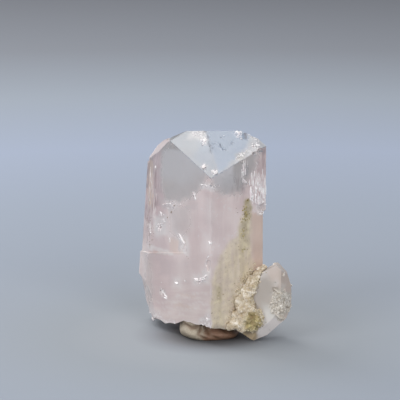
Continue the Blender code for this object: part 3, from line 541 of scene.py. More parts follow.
    # White, stained and shaded places are nearly solid and matt, the rest lets light through
    solid = white
    for mask in (stained, mossy, share["shade"]):
        solid = add_node(tree, "Math", {0: solid, 1: mask}, operation="MAXIMUM")
    milky = add_node(tree, "MapRange", {"Value": shown["clouds"], "To Min": 0.34, "To Max": 0.22})
    through = add_node(tree, "MixRGB", {"Fac": share["clear"], "Color1": milky, "Color2": even(0.6)})
    through = add_node(tree, "MixRGB", {"Fac": solid, "Color1": through, "Color2": even(0.05)})
    rough = add_node(tree, "MapRange", {"Value": share["clear"], "To Min": 0.34, "To Max": 0.07})
    rough = add_node(tree, "MixRGB", {"Fac": solid, "Color1": rough, "Color2": even(0.6)})
    grain = add_node(tree, "Bump", {"Strength": 0.25, "Distance": 0.05 * MM, "Height": marks["grit"]})
    surface = add_node(tree, "BsdfPrincipled", {"Base Color": colour, "Roughness": rough,
                                                "IOR": DANBURITE_IOR, "Transmission Weight": through,
                                                "Normal": grain})
    tint = add_node(tree, "VolumeAbsorption", {"Color": BODY_TINT, "Density": BODY_TINT_DENSITY})
    add_node(tree, "OutputMaterial", {"Surface": surface, "Volume": tint})
    return material


# What a place on the crystal can be, each from 0 to 1
FINISHES = ("clear", "blush", "flesh", "furrow", "stain", "olive", "splinter", "crushed", "veil", "painted_reflection_grey",
            "blue", "shade")
DANBURITE_IOR = 1.63
BODY_TINT = (0.95, 0.86, 0.86, 1.0)
BODY_TINT_DENSITY = 30.0
EDGE_WEAR = 0.16
EDGE_VEIL = 0.6
FRONT_EDGE_VEIL = 0.25
FRONT_EDGE_FROM, FRONT_EDGE_TO = -2.2, 0.8
EDGE_REACH = 0.25
TOP_RISE = 0.45
TOP_CLEARNESS = 0.8
TOP_START = 30.0
SHOULDER_START = -8.6
BACK_FACING = 0.05

# Heights of the relief, in millimetres
TOP_WAVE_HEIGHT = 0.006
TOP_CRUSH_HEIGHT = 0.2
PIT_DEPTH = 0.12
GROWTH_LINE_HEIGHT = 0.007
SWELL_HEIGHT = 0.03
RIB_HEIGHT = 0.08
FIBRE_HEIGHT = 0.1
CRUSH_HEIGHT = 0.06
CLAY_HEIGHT = 0.03
LEDGE_HEIGHT = 0.03
LEDGES_UP_TO = 10.0

front_zones = with_reach(FRONT_ZONES)
top_zones = with_reach(TOP_ZONES)
back_zones = with_reach(BACK_ZONES)


def on_top(place, normal):
    return normal.z > TOP_RISE and place.z > TOP_START


def finish_at(place, normal, edge_distance):
    """The share of each finish at a place of the main crystal, in millimetres."""
    if on_top(place, normal):
        shares = zone_shares(top_zones, TOP_SPARKS, place.x, place.y, place, TOP_SHADES)
        glassy = smooth_step(0.5 + (place.x - SHOULDER_START) / 0.6)
        shares["clear"] = TOP_CLEARNESS * glassy
        # Painted reflection: the glassy top is greyed all over to stand for the tent that it mirrors
        shares["painted_reflection_grey"] = glassy
        return shares
    if normal.y < BACK_FACING:
        shares = zone_shares(front_zones, FRONT_SPARKS, place.x, place.z, place)
    else:
        shares = zone_shares(back_zones, BACK_SPARKS, place.x, place.z, place)
    wear = smooth_step(0.7 - edge_distance / EDGE_WEAR + 2.2 * noise.noise(place * 0.7))
    veil = FRONT_EDGE_VEIL if FRONT_EDGE_FROM < place.x < FRONT_EDGE_TO else EDGE_VEIL
    shares["veil"] = max(shares["veil"], veil * wear)
    return shares


def relief_at(place, normal, shares):
    """How far the real surface stands off the flat face at a place, in millimetres."""
    if on_top(place, normal):
        lumps = noise.noise(place * 1.1) + 0.5 * noise.noise(place * 2.6)
        relief = TOP_WAVE_HEIGHT * noise.noise(place * 0.5) + TOP_CRUSH_HEIGHT * shares["crushed"] * lumps
        return relief - PIT_DEPTH * shares["shade"]
    across = place.x * -normal.y + place.y * normal.x
    growth = noise.noise(Vector((across / 0.45, place.z / 14.0, normal.x * 9.0)))
    relief = GROWTH_LINE_HEIGHT * growth + SWELL_HEIGHT * noise.noise(place * 0.28)
    rib = noise.noise(Vector((across / 0.5, place.z / 6.0, 4.0)))
    relief += RIB_HEIGHT * shares["furrow"] * rib + FIBRE_HEIGHT * shares["splinter"] * abs(rib)
    relief += CRUSH_HEIGHT * shares["crushed"] * noise.noise(place * 2.0)
    relief += CLAY_HEIGHT * shares["stain"] * (1 + noise.noise(place * 3.1))
    ledge = noise.noise(Vector((across / 9.0, place.z / 0.8, 2.0)))
    return relief + LEDGE_HEIGHT * ledge * smooth_step((LEDGES_UP_TO - place.z) / 2.0)


def work_surface(shape):
    """Gives each corner of a scored shape its finishes, lifts it to its relief, and returns what it did."""
    tree = edge_tree(shape)
    layers = {finish: shape.verts.layers.float.new(finish) for finish in FINISHES}
    worked = []
    for vert in shape.verts:
        place = vert.co / MM
        near = tree.find(vert.co)[2] / MM
        shares = finish_at(place, vert.normal, near)
        for finish, layer in layers.items():
            vert[layer] = shares[finish]
        lift = relief_at(place, vert.normal, shares) * smooth_step(near / EDGE_REACH)
        worked.append((place + vert.normal * lift, vert.normal.copy(), shares))
    for vert, (place, normal, shares) in zip(shape.verts, worked):
        vert.co = place * MM
    return worked


main_shape = whole_faces("main_crystal")
score_faces(main_shape, CELL_ACROSS, CELL_UP)
for vert in main_shape.verts:
    vert.co.z += foot_shift(vert.co / MM) * MM
main_shape.normal_update()
main_surface = work_surface(main_shape)
main_tree = bvhtree.BVHTree.FromBMesh(main_shape)
add_piece("danburite_prism", main_shape, make_danburite(), "main_crystal")

# The splinters and chips on the main crystal
# Slivers of the same mineral. Where the crystal was bruised it broke to angular white crumbs, and along its
# upper right edge the last growth stands as thin upright laths, white because they are cracked all through.
LATH_SHARE = 0.1
CHIP_SHARE = 0.3
TOP_CHIP_SHARE = 0.1
FOOT_CHIPS = 90
FOOT_CHIPS_FROM, FOOT_CHIPS_TO = -12.2, 3.0
FOOT_CHIPS_UP_TO = 6.0

# Curved bright slivers on the front faces, as width and a line of x and height
FRONT_SLIVERS = [(0.4, [(-6.7, 19.9), (-6.3, 19.2), (-6, 18.6)]), (0.36, [(-5.9, 18.8), (-5.7, 18.3)]),
                 (0.14, [(-5.7, 18), (-5.6, 17.2), (-5.7, 16.4)]), (0.24, [(-8.6, 18.6), (-8.5, 17.8)]),
                 (0.3, [(-1.2, 20.1), (-0.9, 19.6)]), (0.3, [(-1.1, 17.3), (-1.4, 16.8)]),
                 (0.1, [(-1.5, 16.6), (-1.7, 15.6), (-1.8, 14.6)]), (0.5, [(-3.8, 12.1), (-3.2, 11.9)]),
                 (0.55, [(-3.1, 11.9), (-2.3, 12.3)]), (0.4, [(-2.1, 12.8), (-1.6, 13.3)]),
                 (0.45, [(-7.5, 10.3), (-7, 10.2)]), (0.4, [(-10.3, 8.1), (-9.8, 7.4), (-9.2, 7)]),
                 (0.3, [(-9.7, 6.7), (-9.1, 6.5)]), (0.26, [(-4.1, 28.6), (-3.8, 28.1)]),
                 (0.24, [(-3.8, 27.9), (-3.6, 27.4)]), (0.2, [(-2.7, 30.5), (-2.2, 30.6)]),
                 (0.18, [(-1.9, 30.7), (-1.5, 30.4)]), (0.18, [(0.3, 30.7), (0.6, 30.4)]),
                 (0.3, [(-9.9, 24.7), (-9.3, 25), (-8.4, 25.3)]), (0.24, [(-8.1, 24.9), (-7.7, 25.3)]),
                 (0.22, [(-10.4, 23.2), (-10.1, 22.4)]), (0.22, [(-9.9, 21.9), (-9.6, 21.4)]),
                 (0.24, [(-10.7, 20.8), (-10.8, 19.6)]), (0.2, [(-10.4, 20.2), (-10.4, 19.3)]),
                 (0.24, [(-12.5, 19.9), (-12.3, 18.8)]), (0.5, [(7.6, 26.3), (8.3, 25.9), (9.2, 26.3)]),
                 (0.6, [(8, 24.7), (8.9, 24.3), (9.6, 24)]), (0.4, [(9.2, 25.9), (9.5, 25.4)]),
                 (0.4, [(5.2, 31.3), (5.6, 30.7), (6.1, 30.2)])]

# Bright upright fibres along the upper edges, each as width, upper x and height, lower x and height
FIBRES = [(0.3, 4.95, 33.2, 5, 31.9), (0.36, 5.25, 33.7, 5.3, 31.8), (0.3, 5.6, 33.1, 5.55, 32),
          (0.34, 7.3, 32.5, 7.35, 31.2), (0.28, 7.1, 30.9, 7.05, 28.5), (0.46, 7.45, 30, 7.75, 28.9),
          (0.46, 7.78, 29, 7.5, 27.5), (0.36, 7.95, 30.7, 8, 29.1), (0.32, 8.45, 30.9, 8.4, 28.4),
          (0.3, 8.7, 30.3, 8.75, 27.9), (0.34, 9.1, 28.9, 9.15, 26.9), (0.4, 6.65, 29.6, 6.6, 27),
          (0.36, 6.9, 28.9, 6.95, 26.7), (0.26, 9.3, 31.2, 9.35, 29.4), (0.28, 8.1, 28.2, 8.1, 26.8),
          (0.24, 6.4, 31, 6.45, 29.8), (0.24, 7.6, 34.2, 7.9, 33.6), (0.2, 8.9, 32.6, 8.9, 31.4),
          (0.16, -12.3, 31, -12.35, 28), (0.14, -12.1, 29, -12.15, 26.4), (0.14, -12.45, 27.2, -12.5, 24.4),
          (0.12, -11.8, 28, -11.85, 26.4), (0.12, -11.4, 27.4, -11.4, 25.6),
          (0.1, -11.05, 26.7, -11.1, 25.2), (0.2, -11.3, 31.9, -11.3, 31.2),
          (0.12, -12.7, 25.6, -12.75, 23.9), (0.12, -11.6, 24.6, -11.7, 23.2)]
TOP_SLIVERS = [(0.5, [(4.1, 0.4), (4.6, -0.4)]), (0.4, [(4, -6.2), (4.6, -5.6), (5.2, -5.6)]),
               (0.4, [(5.4, -5), (6, -4.6)]), (0.4, [(7.2, -3.6), (7.8, -3.2), (8.4, -3.4)])]
BACK_SLIVERS = [(0.3, [(-4.4, 27.5), (-3.7, 27.1)]), (0.26, [(0.8, 18.2), (1.3, 17.9)]),
                (0.26, [(1.8, 17.7), (2.4, 17.8)]), (0.3, [(-10.3, 12.1), (-9.9, 11.5)]),
                (0.24, [(-1.7, 24.4), (-1.5, 23.8)]), (0.24, [(3.4, 12.6), (3.8, 12.3)]),
                (0.22, [(-6.3, 33.2), (-6, 32.6)]), (0.24, [(1.1, 30.4), (1.5, 30)])]
SLIVER_STEP = 0.2
FLAKE_STEP = 0.11
SHARD_CORNERS = 9
FULL_TURN = 6.3
TO_LIGHT = Vector((-0.25, -0.5, 0.83)).normalized()


def add_shard(shape, place, size, spin):
    """Adds an angular chip to a mesh: the hull of a few random corners."""
    corners = []
    for corner in range(SHARD_CORNERS):
        reach = Vector([chance.uniform(-1, 1) * part for part in size])
        corners.append(shape.verts.new((place + spin @ reach) * MM))
    hull = bmesh.ops.convex_hull(shape, input=corners)
    unused = hull["geom_interior"] + hull["geom_unused"]
    loose = [part for part in unused if isinstance(part, bmesh.types.BMVert)]
    bmesh.ops.delete(shape, geom=list(set(loose)), context="VERTS")


def add_lath(shape, foot, normal, width, height, proud):
    """Adds a thin upright lath that leans out of a face and ends in a slanted tip."""
    side = Vector((0, 0, 1)).cross(normal).normalized()
    up = normal.cross(side).normalized()
    rings = []
    for rise, scale in ((0.0, 1.0), (0.55, 1.0), (0.85, 0.75), (1.0, 0.3)):
        ring = []
        for across, out in ((-0.5, -0.6), (-0.42, 0.45), (0.05, 1.0), (0.5, 0.35), (0.5, -0.6)):
            slant = rise * height + across * width * rise
            reach = side * across * width * scale + up * slant
            reach += normal * out * proud * (1 if out < 0 else scale)
            ring.append(shape.verts.new((foot + reach) * MM))
        rings.append(ring)
    for lower, upper in zip(rings, rings[1:]):
        for one, two in ((0, 1), (1, 2), (2, 3), (3, 4), (4, 0)):
            shape.faces.new((lower[one], lower[two], upper[two], upper[one]))
    shape.faces.new(rings[-1])
    shape.faces.new(rings[0][::-1])


def surface_place(tree, x, other, way):
    """The place and normal of a crystal's front, back or top where a line meets it from outside."""
    start, heading = {
        "front": (Vector((x, -30, other)), Vector((0, 1, 0))),
        "back": (Vector((x, 30, other)), Vector((0, -1, 0))),
        "top": (Vector((x, other, 60)), Vector((0, 0, -1))),
    }[way]
    place, normal, face, reach = tree.ray_cast(start * MM, heading)
    return (place / MM, normal) if place else (None, None)


def add_sliver(shape, tree, width, line, way):
    """Adds a thin curved flake that stands up along a line on a crystal's face."""
    length = sum(math.dist(one, two) for one, two in zip(line, line[1:]))
    count = max(2, round(length / SLIVER_STEP))
    rings = []
    for step in range(count + 1):
        along = step / count
        leg = min(int(along * (len(line) - 1)), len(line) - 2)
        part = along * (len(line) - 1) - leg
        x, other = [one + (two - one) * part for one, two in zip(line[leg], line[leg + 1])]
        place, normal = surface_place(tree, x, other, way)
        if place is None:
            continue
        heading = Vector((line[leg + 1][0] - line[leg][0], line[leg + 1][1] - line[leg][1]))
        heading = Vector((heading.x, heading.y, 0)) if way == "top" else Vector((heading.x, 0, heading.y))
        side = normal.cross(heading).normalized()
        swell = 0.3 + 0.7 * math.sin(math.pi * (0.05 + 0.9 * along))
        broad = 0.4 * width * swell * chance.uniform(0.3, 1.4)
        crest = 0.5 * width * chance.uniform(0.6, 1.2)
        lean = chance.uniform(0.3, 0.8) * broad * (-1 if side.dot(TO_LIGHT) > 0 else 1)
        corners = (side * -broad - normal * 0.05, side * lean + normal * crest, side * broad - normal * 0.05,
                   normal * -0.12)
        rings.append([shape.verts.new((place + corner) * MM) for corner in corners])
    for lower, upper in zip(rings, rings[1:]):
        for one, two in ((0, 1), (1, 2), (2, 3), (3, 0)):
            shape.faces.new((lower[one], lower[two], upper[two], upper[one]))
    if rings:
        shape.faces.new(rings[0][::-1])
        shape.faces.new(rings[-1])


def random_spin():
    turn = chance.uniform(0, FULL_TURN)
    axis = Vector([chance.gauss(0, 1) for part in range(3)])
    return Matrix.Rotation(turn, 3, axis.normalized())


def spin_to_light():
    """A turn that lays a flat chip's broad side towards the light, at any angle about it."""
    turn = Matrix.Rotation(chance.uniform(0, FULL_TURN), 3, "Z")
    return Vector((0, 0, 1)).rotation_difference(TO_LIGHT).to_matrix() @ turn


def add_flakes(shape, tree, width, line, way):
    """Strews small flakes that catch the light about a line on a crystal's face."""
    for (x1, y1), (x2, y2) in zip(line, line[1:]):
        for step in range(max(1, round(math.dist((x1, y1), (x2, y2)) / FLAKE_STEP))):
            along = chance.random()
            x = x1 + (x2 - x1) * along + chance.gauss(0, 0.5 * width)
            other = y1 + (y2 - y1) * along + chance.gauss(0, 0.5 * width)
            place, normal = surface_place(tree, x, other, way)
            if place:
                size = width * chance.uniform(0.15, 0.4)
                add_shard(shape, place, (size, size, 0.4 * size), spin_to_light())


def make_cracked_danburite(name, pale, deep):
    """Danburite cracked all through: white, with the body colour between the cracks, and a soft glint."""
    material, tree = new_material(name)
    place = add_node(tree, "TexCoord").outputs["Object"]
    cracks = add_node(tree, "TexNoise", {"Vector": place, "Scale": spacing(0.9), "Detail": 4.0})
    cracked = add_node(tree, "MapRange", {"Value": cracks, "From Min": 0.38, "From Max": 0.6})
    colour = add_node(tree, "MixRGB", {"Fac": cracked, "Color1": paint(deep), "Color2": paint(pale)})
    rough = add_node(tree, "MapRange", {"Value": cracked, "To Min": 0.2, "To Max": 0.45})
    surface = add_node(tree, "BsdfPrincipled", {"Base Color": colour, "Roughness": rough,
                                                "IOR": DANBURITE_IOR})
    add_node(tree, "OutputMaterial", {"Surface": surface})
    return material


chance = random.Random(11)
chips = bmesh.new()
laths = bmesh.new()
for place, normal, shares in main_surface:
    top = on_top(place, normal)
    share = (TOP_CHIP_SHARE if top else CHIP_SHARE) * max(0.0, shares["crushed"] - 0.45) / 0.55
    if chance.random() < share:
        size = (0.16 if top else 0.05) + 0.24 * chance.random() ** 2
        spin = spin_to_light() if chance.random() < 0.5 else random_spin()
        add_shard(chips, place - normal * 0.3 * size, (size, size, 0.5 * size), spin)
    if chance.random() < LATH_SHARE * max(0.0, shares["splinter"] - 0.4) / 0.6 and not top:
        height = chance.uniform(0.8, 2.6)
        foot = place - Vector((0, 0, 0.5 * height))
        add_lath(laths, foot, normal, chance.uniform(0.06, 0.14), height, chance.uniform(0.04, 0.1))
for slivers, way in ((FRONT_SLIVERS, "front"), (TOP_SLIVERS, "top"), (BACK_SLIVERS, "back")):
    for width, line in slivers:
        add_sliver(chips, main_tree, width, line, way)
        add_flakes(chips, main_tree, width, line, way)
for width, upper_x, upper_z, lower_x, lower_z in FIBRES:
    add_sliver(laths, main_tree, width, [(upper_x, upper_z), (lower_x, lower_z)], "front")
for sparks, way in ((FRONT_SPARKS, "front"), (TOP_SPARKS, "top"), (BACK_SPARKS, "back")):
    for x, other, width in sparks:
        place, normal = surface_place(main_tree, x, other, way)
        for flake in range(3 if place else 0):
            shift = normal * 0.1 * width + Vector([chance.gauss(0, 0.12 * width) for part in range(3)])
            add_shard(chips, place + shift, (0.45 * width, 0.45 * width, 0.15 * width), spin_to_light())
for step in range(FOOT_CHIPS):
    x = chance.uniform(FOOT_CHIPS_FROM, FOOT_CHIPS_TO)
    z = 0.0
    while surface_place(main_tree, x, z, "front")[0] is None and z < FOOT_CHIPS_UP_TO:
        z += 0.1
    place, normal = surface_place(main_tree, x, z + 0.1, "front")
    if place:
        size = 0.1 + 0.4 * chance.random() ** 2
        add_shard(chips, place + Vector((0, 0.1, 0)), (size, 0.6 * size, 0.7 * size), spin_to_light())
white_danburite = make_cracked_danburite("crushed_danburite", "#FFFDFB", "#E9DEDE")
for name, shape in (("danburite_chips", chips), ("danburite_laths", laths)):
    bmesh.ops.recalc_face_normals(shape, faces=shape.faces)
    add_piece(name, shape, white_danburite)

# The side crystal
# A smaller danburite prism grown on at the foot of the big one, upside down to the eye. Its faces are etched
# dull, its front edge is grown over with a patch of small greenish white crystals.
ETCHED_ZONES = {
    "crushed": [
        (1, 0.8, [(10.9, 10.2), (12.2, 10.6), (13.4, 9.8), (14.4, 8.6), (14.4, 5.8), (12.8, 5.2),
                  (11.2, 5.9), (10.2, 7), (10.5, 8.6)]),
        (1, 0.4, [(11.3, 5.8), (12.6, 5.3), (13, 4.3), (12.2, 4.2)]),
    ],
    "furrow": [
        (0.9, 0.4, [(10.8, 11), (11.8, 11), (11.9, 10), (10.9, 10)]),
        # Painted shade on the right face, which turns away from the light
        (0.35, 1.2, [(12, 14.2), (14.9, 12.8), (14.9, 5), (12.4, 5)]),
    ],
    "veil": [
        (0.5, 0.8, [(12.5, 11.4), (13.2, 11.4), (13.2, 9.2), (12.5, 9.2)]),
        (0.9, 1.4, [(9, 8), (11, 7.2), (11.4, 5.2), (9.6, 4.2), (8.8, 6)]),
    ],
    "flesh": [
        # Painted shade, warm, on the same right face
        (0.9, 1.2, [(12, 14.2), (14.9, 12.8), (14.9, 4), (12.4, 4)]),
        (0.6, 1.2, [(9.4, 15.2), (12.4, 15.2), (12.6, 12), (10.4, 12.4)]),
    ],
    "clear": [
        (0.8, 1.6, [(7.6, 11.6), (10.6, 13.6), (11.2, 9), (10.2, 6.6), (7.8, 6.4)]),
    ],
    "blush": [
        (1, 1.4, [(8, 6.2), (12.6, 5), (13.6, 3.6), (9, 0.6), (7.6, 2)]),
    ],
    "stain": [
        # Painted shade: the facet at the foot faces down and mirrors the shaded floor and the putty
        (0.9, 0.8, [(4.8, 3.6), (8, 3), (7.8, 0), (4.8, 0)]),
    ],
}
SIDE_CELL = 0.25
SIDE_EDGE_REACH = 0.3
GROWN_SHARE = 0.2
SIDE_TINT = (0.93, 0.88, 0.84, 1.0)
SIDE_TINT_DENSITY = 40.0
ETCHED_SPARKS = [(12.7, 13.2, 0.4), (11.2, 11.9, 0.3), (9.6, 4.1, 0.3), (10.3, 2.2, 0.3)]
ETCHED_SLIVERS = [(0.7, [(11.4, 5.8), (12, 5.3), (12.9, 4.8)]), (0.7, [(13.3, 6.9), (13.9, 6.3)]),
                  (0.3, [(11, 10.7), (11.7, 10.2)]), (0.3, [(10.9, 8.4), (11.6, 8.9)])]


def make_etched_danburite():
    """Etched danburite: a dull skin over a grey, half-clear body, greenish white where small crystals sit."""
    material, tree = new_material("etched_danburite")
    place = add_node(tree, "TexCoord").outputs["Object"]
    share = {name: add_node(tree, "Attribute", attribute_name=name).outputs["Fac"] for name in FINISHES}
    clouds = add_node(tree, "TexNoise", {"Vector": place, "Scale": spacing(3.0), "Detail": 5.0})
    cloudy = add_node(tree, "MapRange", {"Value": clouds, "From Min": 0.35, "From Max": 0.65})
    pits = add_node(tree, "TexNoise", {"Vector": place, "Scale": spacing(0.35), "Detail": 3.0})
    pitted = add_node(tree, "MapRange", {"Value": pits, "From Min": 0.35, "From Max": 0.65})
    skin = add_node(tree, "MixRGB", {"Fac": cloudy, "Color1": paint("#E4D8CE"), "Color2": paint("#EEE5DE")})
    # The grown-over colour is darker in the pits, as painted shade
    grown_with_pit_shade = add_node(tree, "MixRGB", {"Fac": pitted, "Color1": paint("#A79C8D"), "Color2": paint("#EBE4D9")})
    # The coats. Besides their own tones, the furrow, flesh and stain coats paint shade on the right face and
    # at the foot.
    for finish, coat in (
            ("clear", paint("#E5DACE")), ("blush", paint("#FFF7F3")), ("flesh", paint("#D6C3B6")),
            ("stain", paint("#A8916B")), ("veil", paint("#FBF7F0")), ("furrow", paint("#A59686")),
            ("crushed", grown_with_pit_shade)):
        skin = add_node(tree, "MixRGB", {"Fac": share[finish], "Color1": skin, "Color2": coat})
    solid = share["crushed"]
    for finish in ("stain", "flesh"):
        solid = add_node(tree, "Math", {0: solid, 1: share[finish]}, operation="MAXIMUM")
    through = add_node(tree, "MapRange", {"Value": share["clear"], "To Min": 0.3, "To Max": 0.5})
    through = add_node(tree, "MixRGB", {"Fac": solid, "Color1": through, "Color2": even(0.08)})
    rough = add_node(tree, "MapRange", {"Value": pitted, "To Min": 0.3, "To Max": 0.42})
    etching = add_node(tree, "Bump", {"Strength": 0.3, "Distance": 0.04 * MM, "Height": pits})
    surface = add_node(tree, "BsdfPrincipled", {"Base Color": skin, "Roughness": rough,
                                                "IOR": DANBURITE_IOR, "Transmission Weight": through,
                                                "Normal": etching})
    tint = add_node(tree, "VolumeAbsorption", {"Color": SIDE_TINT, "Density": SIDE_TINT_DENSITY})
    add_node(tree, "OutputMaterial", {"Surface": surface, "Volume": tint})
    return material


etched_zones = with_reach(ETCHED_ZONES)
side_shape = whole_faces("side_crystal")
score_faces(side_shape, SIDE_CELL, SIDE_CELL)
side_edges = edge_tree(side_shape)
side_layers = {finish: side_shape.verts.layers.float.new(finish) for finish in FINISHES}
grown_places = []
for vert in side_shape.verts:
    place = vert.co / MM
    near = side_edges.find(vert.co)[2] / MM
    shares = dict.fromkeys(FINISHES, 0.0)
    if vert.normal.y < 0.3:
        shares = zone_shares(etched_zones, ETCHED_SPARKS, place.x, place.z, place)
    else:
        shares["clear"] = smooth_step(0.5 + noise.noise(place * 0.3))
        shares["crushed"] = smooth_step(2.5 * noise.noise(place * 0.4) - 0.2)
    for finish, layer in side_layers.items():
        vert[layer] = shares[finish]
    if shares["crushed"] > 0.5:
        grown_places.append((place, vert.normal.copy()))
    lift = 0.02 * noise.noise(place * 0.8) + 0.008 * noise.noise(place * 3.0)
    vert.co += vert.normal * lift * smooth_step(near / SIDE_EDGE_REACH) * MM
side_tree = bvhtree.BVHTree.FromBMesh(side_shape)
add_piece("danburite_side_prism", side_shape, make_etched_danburite(), "side_crystal")

chance = random.Random(23)
small_crystals = bmesh.new()
for place, normal in grown_places:
    if chance.random() < GROWN_SHARE:
        size = 0.12 + 0.3 * chance.random() ** 2
        add_shard(small_crystals, place, (0.6 * size, 0.6 * size, size), random_spin())
for width, line in ETCHED_SLIVERS:
    add_sliver(small_crystals, side_tree, width, line, "front")
    add_flakes(small_crystals, side_tree, width, line, "front")
bmesh.ops.recalc_face_normals(small_crystals, faces=small_crystals.faces)
green_white = make_cracked_danburite("grown_over_danburite", "#F1EBE2", "#BDB2A3")
add_piece("small_crystals", small_crystals, green_white)

# The crust
# Clay-cemented grit of feldspar and danburite crumbs, wedged between the two crystals. It is cream where the
# crumbs are clean, and olive where the clay fills them.
CRUST_GRAIN = 0.8
CRUST_CELL = 0.11
SEAM_FILL = 0.3
CRUMB_SHARE = 0.02
CLAY_ZONES = {
    "olive": [
        (1, 1.4, [(5.4, 5.2), (6.4, 6.3), (8.4, 6.2), (9.2, 4.4), (8.6, 2.6), (6.4, 2.2), (5.4, 3.2)]),
        (0.6, 0.9, [(7.4, 12.4), (8.6, 12.4), (8.4, 10.6), (7.6, 10.2)]),
        (0.2, 0.7, [(6.4, 9.2), (7.4, 9.4), (7.4, 7.6), (6.4, 7.6)]),
    ],
    "dark": [
        (0.25, 0.9, [(4.2, 8.6), (5.6, 8.8), (5.6, 7.4), (4.2, 7.4)]),
        (0.9, 1.2, [(6.2, 5.8), (7.6, 5.9), (7.6, 4.6), (6.4, 4.4)]),
        (0.5, 0.3, [(7.9, 11.8), (8.3, 11.6), (8.1, 11), (7.8, 11.1)]),
        (0.3, 0.4, [(6.3, 8.7), (6.9, 8.7), (6.9, 8.1), (6.3, 8.1)]),
    ],
}


# What a place on the crust can be, each from 0 to 1; deep is painted shade in the crevices between grains
CLAY_SHARES = ("olive", "dark", "deep")


def remeshed(name, node, cell):
    """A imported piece's form as an even fine mesh, ready to be worked."""
    plain = bpy.data.meshes.new(name)
    form = whole_faces(node)
    form.to_mesh(plain)
    form.free()
    carrier = bpy.data.objects.new(name, plain)
    bpy.context.collection.objects.link(carrier)
    remesh = carrier.modifiers.new("even_cells", "REMESH")
    remesh.mode = "VOXEL"
    remesh.voxel_size = cell * MM
    seen = carrier.evaluated_get(bpy.context.evaluated_depsgraph_get())
    shape = bmesh.new()
    shape.from_mesh(seen.to_mesh())
    bpy.data.objects.remove(carrier)
    return shape


def make_crust():
    """Gritty crust: cream and white crumbs in tan clay, olive and brown where it is thick, darker in the
    crevices by painted shading; quite matt.
    """
    material, tree = new_material("clay_and_grit")
    place = add_node(tree, "TexCoord").outputs["Object"]
    share = {name: add_node(tree, "Attribute", attribute_name=name).outputs["Fac"] for name in CLAY_SHARES}
    crumbs = add_node(tree, "TexVoronoi", {"Vector": place, "Scale": spacing(0.32)})
    tone = add_node(tree, "SeparateColor", {"Color": crumbs.outputs["Color"]})
    grit = add_node(tree, "TexNoise", {"Vector": place, "Scale": spacing(0.2), "Detail": 3.0})
    colour = add_node(tree, "MixRGB", {"Fac": tone.outputs["Red"], "Color1": paint("#D6C8AF"),
                                       "Color2": paint("#F8F0E4")})
    green = add_node(tree, "MixRGB", {"Fac": tone.outputs["Green"], "Color1": paint("#998A58"),
                                      "Color2": paint("#CDBF8F")})
    tans = add_node(tree, "TexNoise", {"Vector": place, "Scale": spacing(1.8), "Detail": 4.0})
    tanned = add_node(tree, "MapRange", {"Value": tans, "From Min": 0.44, "From Max": 0.58, "To Max": 0.5})
    # The deep coat is painted shade in the crevices
    for mask, coat in ((tanned, paint("#AC9676")), (share["olive"], green), (share["dark"], paint("#7A6842")),
                       (share["deep"], paint("#B39C77"))):
        colour = add_node(tree, "MixRGB", {"Fac": mask, "Color1": colour, "Color2": coat})
    rough = add_node(tree, "MapRange", {"Value": grit, "To Min": 0.7, "To Max": 0.95})
    lumps = add_node(tree, "Math", {0: crumbs.outputs["Distance"], 1: -0.8, 2: grit},
                     operation="MULTIPLY_ADD")
    sand = add_node(tree, "Bump", {"Strength": 0.8, "Distance": 0.14 * MM, "Height": lumps})
    surface = add_node(tree, "BsdfPrincipled", {"Base Color": colour, "Roughness": rough, "Normal": sand})
    add_node(tree, "OutputMaterial", {"Surface": surface})
    return material


def mark_crust(vert, layers, place, crevice_shade):
    """Gives a corner of the crust its clay shares and its painted shading in the crevices."""
    shares = zone_shares(clay_zones, [], place.x, place.z, place)
    vert[layers["olive"]] = shares["olive"]
    vert[layers["dark"]] = shares.get("dark", 0.0)
    vert[layers["deep"]] = crevice_shade


chance = random.Random(37)
clay_zones = with_reach(CLAY_ZONES)
crust_shape = remeshed("crust_form", "matrix_crust", CRUST_CELL)
crust_layers = {name: crust_shape.verts.layers.float.new(name) for name in CLAY_SHARES}
crust_shape.normal_update()
crust_places = []
for vert in crust_shape.verts:
    place = vert.co / MM
    bent = place + 0.25 * noise.noise_vector(place * 1.1)
    grain = noise.voronoi(bent / CRUST_GRAIN)[0][0]
    fine = noise.voronoi(bent / (0.4 * CRUST_GRAIN))[0][0]
    # Painted shade where the grains meet, in the crevices that the lift below presses in
    mark_crust(vert, crust_layers, place, 0.5 * smooth_step((0.6 * grain + 0.4 * fine - 0.36) / 0.3))
    if chance.random() < CRUMB_SHARE:
        crust_places.append((place, vert.normal.copy()))
    rough_lift = 0.12 * (0.45 - grain) + 0.1 * (0.45 - fine) + 0.1 * noise.noise(place * 1.2)
    for tree in (main_tree, side_tree):
        gap = tree.find_nearest(vert.co)[3] / MM
        rough_lift += SEAM_FILL * smooth_step(1.5 - gap / 0.5)
    vert.co += vert.normal * rough_lift * MM
for place, normal in crust_places:
    size = chance.uniform(0.12, 0.3)
    known = len(crust_shape.verts)
    add_shard(crust_shape, place, (size, size, 0.8 * size), random_spin())
    crust_shape.verts.ensure_lookup_table()
    for index in range(known, len(crust_shape.verts)):
        mark_crust(crust_shape.verts[index], crust_layers, place, 0.0)
crust_tree = bvhtree.BVHTree.FromBMesh(crust_shape)
clay_and_grit = make_crust()
add_piece("grit_crust", crust_shape, clay_and_grit, "matrix_crust")

